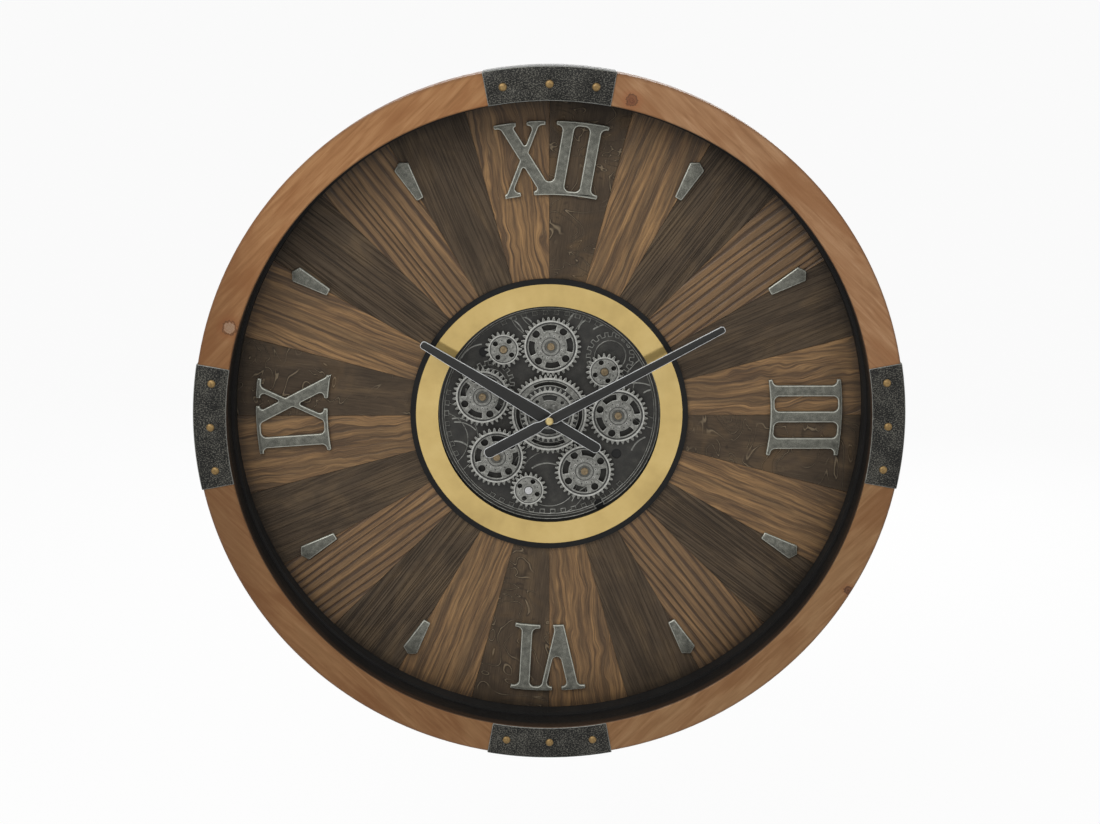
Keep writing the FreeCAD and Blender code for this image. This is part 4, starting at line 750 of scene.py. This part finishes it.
def thickened(flat, thickness):
    """A flat sheet of faces made a closed slab."""
    top = put("GeometryNodeExtrudeMesh", {"Mesh": flat, "Offset": xyz(0.0, 0.0, thickness),
                                          "Offset Scale": 1.0, "Individual": False}, "Mesh", mode="FACES")
    under = put("GeometryNodeFlipFaces", {"Mesh": flat})
    both = put("GeometryNodeJoinGeometry", {0: [top, under]}, tree=flat.tree)
    return put("GeometryNodeMergeByDistance", {"Geometry": both, "Distance": 0.001})


def wheel_tree():
    """A flat toothed wheel with a bore, round holes and curved slots."""
    tree, given = geometry_tree(
        "toothed_wheel", Int="teeth holes slots",
        Float="tip_radius root_radius tip_width foot_width thickness bore hole_radius hole_circle hole_turn "
              "slot_inner slot_outer slot_sweep")
    index = put("GeometryNodeInputIndex", tree=tree)
    tooth = calc("FLOOR", (index + 0.5) / 4.0)
    corner = index - tooth * 4.0
    at_tip = calc("LESS_THAN", calc("ABSOLUTE", corner - 1.5), 1.0)
    side = calc("MULTIPLY_ADD", calc("GREATER_THAN", corner, 1.5), 2.0, -1.0)
    away = calc("MULTIPLY_ADD", at_tip, given.tip_radius - given.root_radius, given.root_radius)
    width = calc("MULTIPLY_ADD", at_tip, given.tip_width - given.foot_width, given.foot_width)
    turn = tooth * (2 * math.pi / given.teeth) + side * (width / (away * 2.0))
    rim = put("GeometryNodeSetPosition", {"Geometry": circle(1.0, given.teeth * 4.0),
                                          "Position": around(turn, away)})
    bore = circle(given.bore, 24)
    hole_turn = calc("MULTIPLY_ADD", index, 2 * math.pi / given.holes, given.hole_turn)
    spots = put("GeometryNodePoints", {"Count": given.holes,
                                       "Position": around(hole_turn, given.hole_circle)})
    holes = put("GeometryNodeRealizeInstances", {"Geometry": copies(spots, circle(given.hole_radius, 20))})
    slots = ring_of_slots(given.slots, given.slot_inner, given.slot_outer, given.slot_sweep)
    lines = put("GeometryNodeJoinGeometry", {0: [rim, bore, holes, slots]}, tree=tree)
    flat = put("GeometryNodeFillCurve", {"Curve": lines}, mode="NGONS")
    return ended(tree, thickened(flat, given.thickness), given)


def spots_tree():
    """A copy of one piece at each corner of a mesh of places."""
    tree, given = geometry_tree("copies_at_places", Object="places piece")
    return ended(tree, copies(from_object(given.places), from_object(given.piece, True)), given)


def rubbed_tree():
    """Fine beads along a piece's sharp edges above a height: where the high edges are rubbed bright."""
    tree, given = geometry_tree("rubbed_edges", Object="piece", Float="least_angle least_height width")
    whole = put("GeometryNodeMergeByDistance", {"Geometry": from_object(given.piece), "Distance": MERGE})
    angle = put("GeometryNodeInputMeshEdgeAngle", out="Unsigned Angle", tree=tree)
    height = along(put("GeometryNodeInputPosition", tree=tree), "Z")
    high = calc("GREATER_THAN", height, given.least_height)
    picked = calc("GREATER_THAN", angle, given.least_angle) * high
    edges = put("GeometryNodeMeshToCurve", {"Mesh": whole, "Selection": picked})
    return ended(tree, beaded(edges, given.width, 4), given)


def rib_tree():
    """A low rounded rib along a curve through three places."""
    tree, given = geometry_tree("curved_rib", Vector="start middle end", Float="width")
    path = put("GeometryNodeCurveQuadraticBezier", {"Resolution": 12, "Start": given.start,
                                                    "Middle": given.middle, "End": given.end})
    return ended(tree, beaded(path, given.width, 6), given)


def beaded(path, radius, corners):
    """A closed bead along a curve."""
    return put("GeometryNodeCurveToMesh", {"Curve": path, "Profile Curve": circle(radius, corners),
                                           "Fill Caps": True})


COPIES = copies_tree()
SPOTS = spots_tree()
RUBBED = rubbed_tree()
RIB = rib_tree()
WHEEL = wheel_tree()


def studs(outline, segments, finish_name, count, radius, start, lift=0):
    """Small turned studs or dots, evenly spaced on a circle from a start in degrees."""
    stud = shown("stud", lathe("stud", outline, segments, finish_name))
    mesh = grown("studs", COPIES, finish_name, piece=stud, count=count, radius=float(radius),
                 start=math.radians(start), step=math.radians(360 / count), lift=float(lift))
    bpy.data.objects.remove(stud)
    return mesh


# ---------------------------------------------------------------- pieces

# Distance between the axes of a large gear and the centre wheel, and of a small and a large gear
LARGE_MESH = 59.9
SMALL_MESH = 40.9

# Teeth of the centre wheel, the large gears and the small gears
CENTRE, LARGE, SMALL = 48, 34, 20

# Each gear: its mate, its teeth, and clockwise from 12 o'clock the way to it from its mate and the
# way from its middle to its first tooth
GEARS = (("top", "centre", LARGE, 1.4, -2.6), ("right", "centre", LARGE, 91.4, 67.1),
         ("lower_right", "centre", LARGE, 149, 9.3), ("lower_left", "centre", LARGE, 230, 8.5),
         ("left", "centre", LARGE, 285, 24.5), ("upper_left", "top", SMALL, 266.5, 32.7),
         ("upper_right", "right", SMALL, 342.8, 64.2), ("drive", "lower_left", SMALL, 137.2, 31.3))


def gears_in_mesh():
    """Each gear's place, teeth and turn: in mesh with its mate, and as near as a tooth to the
    photograph."""
    known = {"centre": ((0.0, 0.0), CENTRE, 90 - 2.1)}
    for name, mate, teeth, direction, first_tooth in GEARS:
        (mate_x, mate_y), mate_teeth, mate_turn = known[mate]
        distance = LARGE_MESH if mate == "centre" else SMALL_MESH
        angle = math.radians(direction)
        place = mate_x + distance * math.sin(angle), mate_y + distance * math.cos(angle)
        line = math.degrees(math.atan2(place[1] - mate_y, place[0] - mate_x))
        share = (mate_turn - line) * mate_teeth / 360
        turn = line + 180 - (share + 0.5) * 360 / teeth
        pitch = 360 / teeth
        turn += round((90 - first_tooth - turn) / pitch) * pitch
        known[name] = (place, teeth, turn)
    return known


def ridge(name, inner, outer, low, high, finish_name, segments=64, ease=0.2):
    """A raised ring with eased shoulders."""
    return lathe(name, [(inner, low), (outer, low), (outer, high - ease), (outer - ease, high),
                        (inner + ease, high), (inner, high - ease)], segments, finish_name, closed=True)


def toothed_wheel(name, back, bore, holes=(0, 0.0, 0.0, 0.0), slots=(0, 0.0, 0.0, 0.0), foot_width=2.9,
                  **sizes):
    """A toothed wheel with bright edges. Its holes are a count, a radius, the circle that they lie on
    and a turn; its slots are a count, two radii and a sweep. Angles are in degrees."""
    hole_count, hole_radius, hole_circle, hole_turn = holes
    slot_count, slot_inner, slot_outer, slot_sweep = slots
    mesh = grown(name, WHEEL, "gear_silver", tip_width=1.1, foot_width=foot_width, bore=bore,
                 holes=hole_count, hole_radius=hole_radius, hole_circle=hole_circle,
                 hole_turn=math.radians(hole_turn), slots=slot_count, slot_inner=slot_inner,
                 slot_outer=slot_outer, slot_sweep=math.radians(slot_sweep), **sizes)
    mesh.transform(Matrix.Translation((0, 0, back)))
    return softened(mesh, 0.25, "gear_edge", 1)


def ridges(*rows):
    return [ridge(*row) for row in rows]


def large_gear(name):
    """A large gear: toothed rim, grooved web with slots and holes, and a studded hub disc."""
    top = GEAR_BACK + 2.1
    parts = [toothed_wheel(name, GEAR_BACK, 2.05, (4, 3.3, 16.7, 45), (4, 14.0, 19.2, 42),
                           teeth=LARGE, tip_radius=26.0, root_radius=22.7, thickness=2.1)]
    parts += ridges(("rim", 21.5, 23.0, top, GEAR_FRONT + 0.1, "gear_edge", 68),
                    ("groove", 20.2, 21.5, top, top + 0.04, "gear_shade", 68, 0.01),
                    ("lip", 19.6, 20.2, top, top + 0.3, "gear_silver", 64, 0.1),
                    ("disc", 5.4, 12.9, top, GEAR_FRONT + 0.2, "gear_silver", 48, 0.3))
    parts += [
        studs([(1.0, -0.1), (0.95, 0.3), (0.5, 0.45), (0, 0.45)], 10, "gear_edge", 8, 9.8, 22.5,
              GEAR_FRONT + 0.2),
        studs([(0.55, -0.1), (0.55, 0.02), (0, 0.02)], 8, "gear_shade", 8, 9.8, 22.5, GEAR_FRONT + 0.66),
        studs([(0.7, -0.1), (0.7, 0.03), (0, 0.03)], 8, "gear_shade", 8, 11.4, 0, GEAR_FRONT + 0.2)]
    parts += ridges(("collar", 5.4, 7.6, GEAR_FRONT, GEAR_FRONT + 0.5, "gear_silver", 40),
                    ("seam", 7.6, 8.2, GEAR_FRONT, GEAR_FRONT + 0.22, "gear_shade", 40, 0.01),
                    ("well", 2.05, 5.4, top, top + 0.05, "well_floor", 32, 0.01))
    return joined(name, parts)


def small_gear(name):
    """A small gear: toothed rim, dark groove, web with four holes and a hub ring."""
    top = GEAR_BACK + 2.2
    parts = [toothed_wheel(name, GEAR_BACK, 2.05, (4, 2.3, 8.5, 0), teeth=SMALL, tip_radius=16.1,
                           root_radius=12.8, thickness=2.2)]
    parts += ridges(("rim", 11.9, 13.1, top, GEAR_FRONT + 0.1, "gear_edge", 48),
                    ("groove", 11.2, 11.9, top, top + 0.04, "gear_shade", 48, 0.01),
                    ("hub", 3.9, 5.6, top, GEAR_FRONT + 0.5, "gear_silver", 32),
                    ("well", 2.05, 3.9, top, top + 0.05, "well_floor", 24, 0.01))
    parts.append(studs([(0.55, -0.1), (0.55, 0.04), (0, 0.04)], 8, "gear_shade", 4, 8.2, 45, top))
    return joined(name, parts)


def centre_train():
    """The double centre gear: a wide wheel with dark arcs, and the upper wheel on it."""
    top = GEAR_BACK + 2.2
    parts = [toothed_wheel("centre_wheel", GEAR_BACK, 4.05, slots=(4, 25.6, 28.8, 62), teeth=CENTRE,
                           tip_radius=35.4, root_radius=32.1, thickness=2.2)]
    parts += ridges(("rim", 30.6, 32.4, top, GEAR_FRONT + 0.1, "gear_edge", 96),
                    ("groove", 29.8, 30.6, top, top + 0.04, "gear_shade", 96, 0.01),
                    ("bed", 4.2, 25.0, top, GEAR_FRONT, "gear_shade", 64, 0.1))
    top = GEAR_FRONT + 1.6
    parts.append(toothed_wheel("upper_wheel", GEAR_FRONT, 4.05, (4, 1.7, 15.4, 45), (4, 13.0, 17.6, 46), 2.7,
                               teeth=32, tip_radius=24.6, root_radius=21.3, thickness=1.6))
    parts += ridges(("upper_rim", 19.8, 21.6, top, UPPER_FRONT, "gear_edge", 72),
                    ("upper_groove", 18.9, 19.8, top, top + 0.04, "gear_shade", 72, 0.01),
                    ("upper_disc", 4.05, 11.0, top, UPPER_FRONT + 0.5, "gear_silver", 48, 0.3))
    parts.append(studs([(1.0, -0.1), (0.95, 0.2), (0.5, 0.3), (0, 0.3)], 10, "gear_edge", 8, 9.0, 22.5,
                       UPPER_FRONT + 0.5))
    return joined("centre_train", parts)


def gear_train():
    """The centre train, the gears in mesh with it, and the brass pins that hold them."""
    heads = []
    for name, (place, teeth, turn) in gears_in_mesh().items():
        if name == "centre":
            body, mesh, nodes = "centre_train", centre_train(), ["centre_wheel", "upper_wheel"]
        else:
            body = name + "_gear"
            mesh, nodes = (large_gear if teeth == LARGE else small_gear)(body), [body]
        mesh.transform(Matrix.Translation((*place, 0)) @ Matrix.Rotation(math.radians(turn), 4, "Z"))
        fit(body + "_finished", mesh, body, "gear_silver", *nodes)
        if name in ("centre", "drive"):
            continue
        low = GEAR_FRONT - 0.5
        pin = lathe("pin", [(0, 23.5), (2, 23.5), (2, low), (3.3, low), (3.3, low + 1.0), (2.9, low + 1.5),
                            (1.3, low + 1.5), (1.1, low + 1.15), (0, low + 1.15)], 28, "pin_brass")
        pin.transform(Matrix.Translation((*place, 0)))
        heads.append(pin)
    fit("gear_pins_finished", joined("gear_pins", heads), "root", "pin_brass", "gear_pins")


def rounded(points, radii, steps=6):
    """An outline with its corners rounded, each by a radius of its own."""
    outline = []
    for place, radius in enumerate(radii):
        before, corner, after = (Vector(points[(place + shift) % len(points)]) for shift in (-1, 0, 1))
        if not radius:
            outline.append(corner)
            continue
        to_before, to_after = (before - corner).normalized(), (after - corner).normalized()
        half = to_before.angle(to_after) / 2
        middle = corner + (to_before + to_after).normalized() * (radius / math.sin(half))
        start = corner + to_before * (radius / math.tan(half)) - middle
        end = corner + to_after * (radius / math.tan(half)) - middle
        for step in range(steps + 1):
            arm = start.lerp(end, step / steps).normalized() * radius
            outline.append(middle + arm)
    return outline


def hand(name, body, turn, length, tail, tip, root, tail_width, low, high, bore):
    """A flat hand, dark in front, bright on its edges and pale behind. The minute hand's sides are
    drawn in by the hub."""
    waist = [(3.7, 1, 3), (3.5, -6.5, 3)] if name == "minute_hand" else []
    side = [(tip / 2, length, 2.6), (root / 2, 4.5, 2.5), *waist,
            (tail_width / 2, -12.5, 2.5), (tail_width / 2 - 0.2, -tail, 4.2)]
    corners = side + [(-across, up, radius) for across, up, radius in reversed(side)]
    outline = rounded([corner[:2] for corner in corners], [corner[2] for corner in corners])
    hole = [Vector((bore * math.cos(math.pi * step / 12), bore * math.sin(math.pi * step / 12)))
            for step in range(24)]
    work = bmesh.new()
    edges = []
    for loop in (outline, hole):
        corners = [work.verts.new((*point, low)) for point in loop]
        edges += [work.edges.new((corners[place - 1], corners[place])) for place in range(len(corners))]
    bmesh.ops.triangle_fill(work, use_beauty=True, edges=edges)
    back = list(work.faces)
    front = bmesh.ops.extrude_face_region(work, geom=back, use_keep_orig=True)["geom"]
    for corner in (item for item in front if isinstance(item, bmesh.types.BMVert)):
        corner.co.z = high
    bmesh.ops.dissolve_limit(work, angle_limit=math.radians(0.5), verts=work.verts, edges=work.edges)
    bmesh.ops.recalc_face_normals(work, faces=work.faces)
    for face in work.faces:
        face.material_index = 0 if face.normal.z > 0.5 else 2 if face.normal.z < -0.5 else 1
    mesh = bpy.data.meshes.new(name)
    work.to_mesh(mesh)
    work.free()
    dressed(mesh, "hand_black", "hand_edge", "hand_back")
    mesh = softened(mesh, 0.55, "hand_edge", 2)
    mesh.transform(Matrix.Rotation(math.radians(-turn), 4, "Z"))
    fit(name + "_finished", mesh, body, "hand_black", name)


# Curved ribs of the relief plate, in the window: start, end and how far the middle bulges out
RIBS = (((-36, 85), (-22, 72), 4), ((-22, 85), (-15, 80), 2), ((16.7, 82), (23.6, 89), 2),
        ((25, 74), (32.6, 82.6), 3), ((-76, 49), (-58, 61), 6), ((-78, 44), (-70, 56), 4),
        ((69.4, 26.4), (90, 23.5), 3), ((82, 17.7), (89, 20.6), 1), ((-15.3, -50), (6.9, -47), 6),
        ((-83, -8.2), (-64, -15.4), 5), ((-84.7, -5.3), (-72, -6.8), 3), ((-83, -25.5), (-71, -30), 3),
        ((38, 74), (62, 78), 6), ((66, 62), (78, 46), 4), ((-30, -76), (-12, -84), 3),
        ((20, -80), (34, -66), 4), ((72, -34), (84, -22), 4), ((-66, 6), (-72, 22), 4))


def relief_details():
    """The relief plate's rubbed edges, curved ribs, rim line and ringed relief wheels."""
    source = shown("relief_source", solid_copy("relief_plate", False))
    parts = [grown("rubbed", RUBBED, "relief_edge", piece=source, least_angle=0.6,
                   least_height=RELIEF_FRONT + 0.5, width=0.4)]
    bpy.data.objects.remove(source)
    for start, end, bulge in RIBS:
        start, end = Vector(start), Vector(end)
        way = end - start
        middle = (start + end) / 2 + Vector((-way.y, way.x)).normalized() * bulge
        parts.append(grown("rib", RIB, "relief_edge", start=(*start, RELIEF_FRONT),
                           middle=(*middle, RELIEF_FRONT + 0.3), end=(*end, RELIEF_FRONT), width=0.75))
    parts.append(ridge("rim_line", 92.7, 93.3, RELIEF_FRONT + 1, RELIEF_FRONT + 1.3, "relief_edge", 128, 0.1))
    for place in ((52.8, 50.9), (-50.9, 25.9)):
        for inner, outer in ((13.9, 14.4), (10.8, 11.4), (4.6, 5.4)):
            ring = ridge("ring", inner, outer, RELIEF_FRONT, RELIEF_FRONT + 0.6, "relief_edge", 48, 0.1)
            ring.transform(Matrix.Translation((*place, 0)))
            parts.append(ring)
    fit("relief_details", joined("relief_details", parts), "root", "relief_gunmetal")


def screw_places(node):
    """Where the axis of every screw in a CAD node meets the back of its head."""
    work = bmesh.new()
    work.from_mesh(solid_copy(node, False))
    places = []
    left = set(work.verts)
    for first in work.verts:
        if first not in left:
            continue
        left.remove(first)
        screw = [first]
        for corner in screw:
            for line in corner.link_edges:
                other = line.other_vert(corner)
                if other in left:
                    left.remove(other)
                    screw.append(other)
        spots = [corner.co for corner in screw]
        places.append((sum(spot.x for spot in spots) / len(spots),
                       sum(spot.y for spot in spots) / len(spots), min(spot.z for spot in spots)))
    work.free()
    return places


def screw_crosses():
    """The cross recess in the head of every screw on the back."""
    for node, wide in (("dial_screws", 3.4), ("bezel_screws", 3.4), ("hanger_screws", 3.0),
                       ("drive_screws", 2.4)):
        spots = shown("spots", new_mesh("spots", screw_places(node), []))
        work = bmesh.new()
        for across, up in ((wide, wide / 5), (wide / 5, wide)):
            bmesh.ops.create_cube(work, size=1, matrix=Matrix.Diagonal((across, up, 0.12, 1)))
        cross = shown("cross", bpy.data.meshes.new("cross"))
        work.to_mesh(cross.data)
        work.free()
        mesh = grown(node + "_crosses", SPOTS, "gear_shade", places=spots, piece=cross)
        bpy.data.objects.remove(cross)
        bpy.data.objects.remove(spots)
        fit(node + "_crosses", mesh, "root", "screw_steel")


def nails():
    """Domed brass nails, three to a strap."""
    radius, rise = 3.4, 1.8
    dome = [(0, 66), (1.1, 66), (1.1, NAIL_SEAT), (radius, NAIL_SEAT)]
    for step in range(1, 6):
        angle = math.radians(90 * step / 6)
        dome.append((radius * math.cos(angle), NAIL_SEAT + rise * math.sin(angle)))
    dome.append((0, NAIL_SEAT + rise))
    rows = [studs(dome, 24, "nail_brass", 4, 286.5, offset) for offset in (-7.6, 0, 7.6)]
    fit("strap_nails_finished", joined("nails", rows), "root", "nail_brass", "strap_nails")


def carried_over():
    """Every CAD node gets the finish of its slot; its mesh stays as it is."""
    for part in frame["record"]["subparts"]:
        node = NODES[part["node"]]
        dressed(node.data, NODE_FINISH.get(part["node"], part["material_slot"]))


def pieces():
    carried_over()
    for hour in (12, 3, 6, 9):
        worn("strap_%d" % hour, 0.55, "strap_steel", "strap_rim")
    for node in ("numeral_twelve", "numeral_three", "numeral_six", "numeral_nine", "hour_bars"):
        worn(node, 0.9, "pewter_face", "pewter_edge")
    hand("hour_hand", "hour", turn=301.6, length=128, tail=51, tip=7, root=12.6, tail_width=10,
         low=52.8, high=54.8, bore=2.62)
    hand("minute_hand", "minute", turn=61.6, length=169, tail=63, tip=6.2, root=9.6, tail_width=10,
         low=56, high=58, bore=1.52)
    relief_details()
    screw_crosses()
    gear_train()
    nails()


finishes()
camera()
studio()
pieces()

scene = bpy.context.scene
scene.view_settings.view_transform = "Standard"
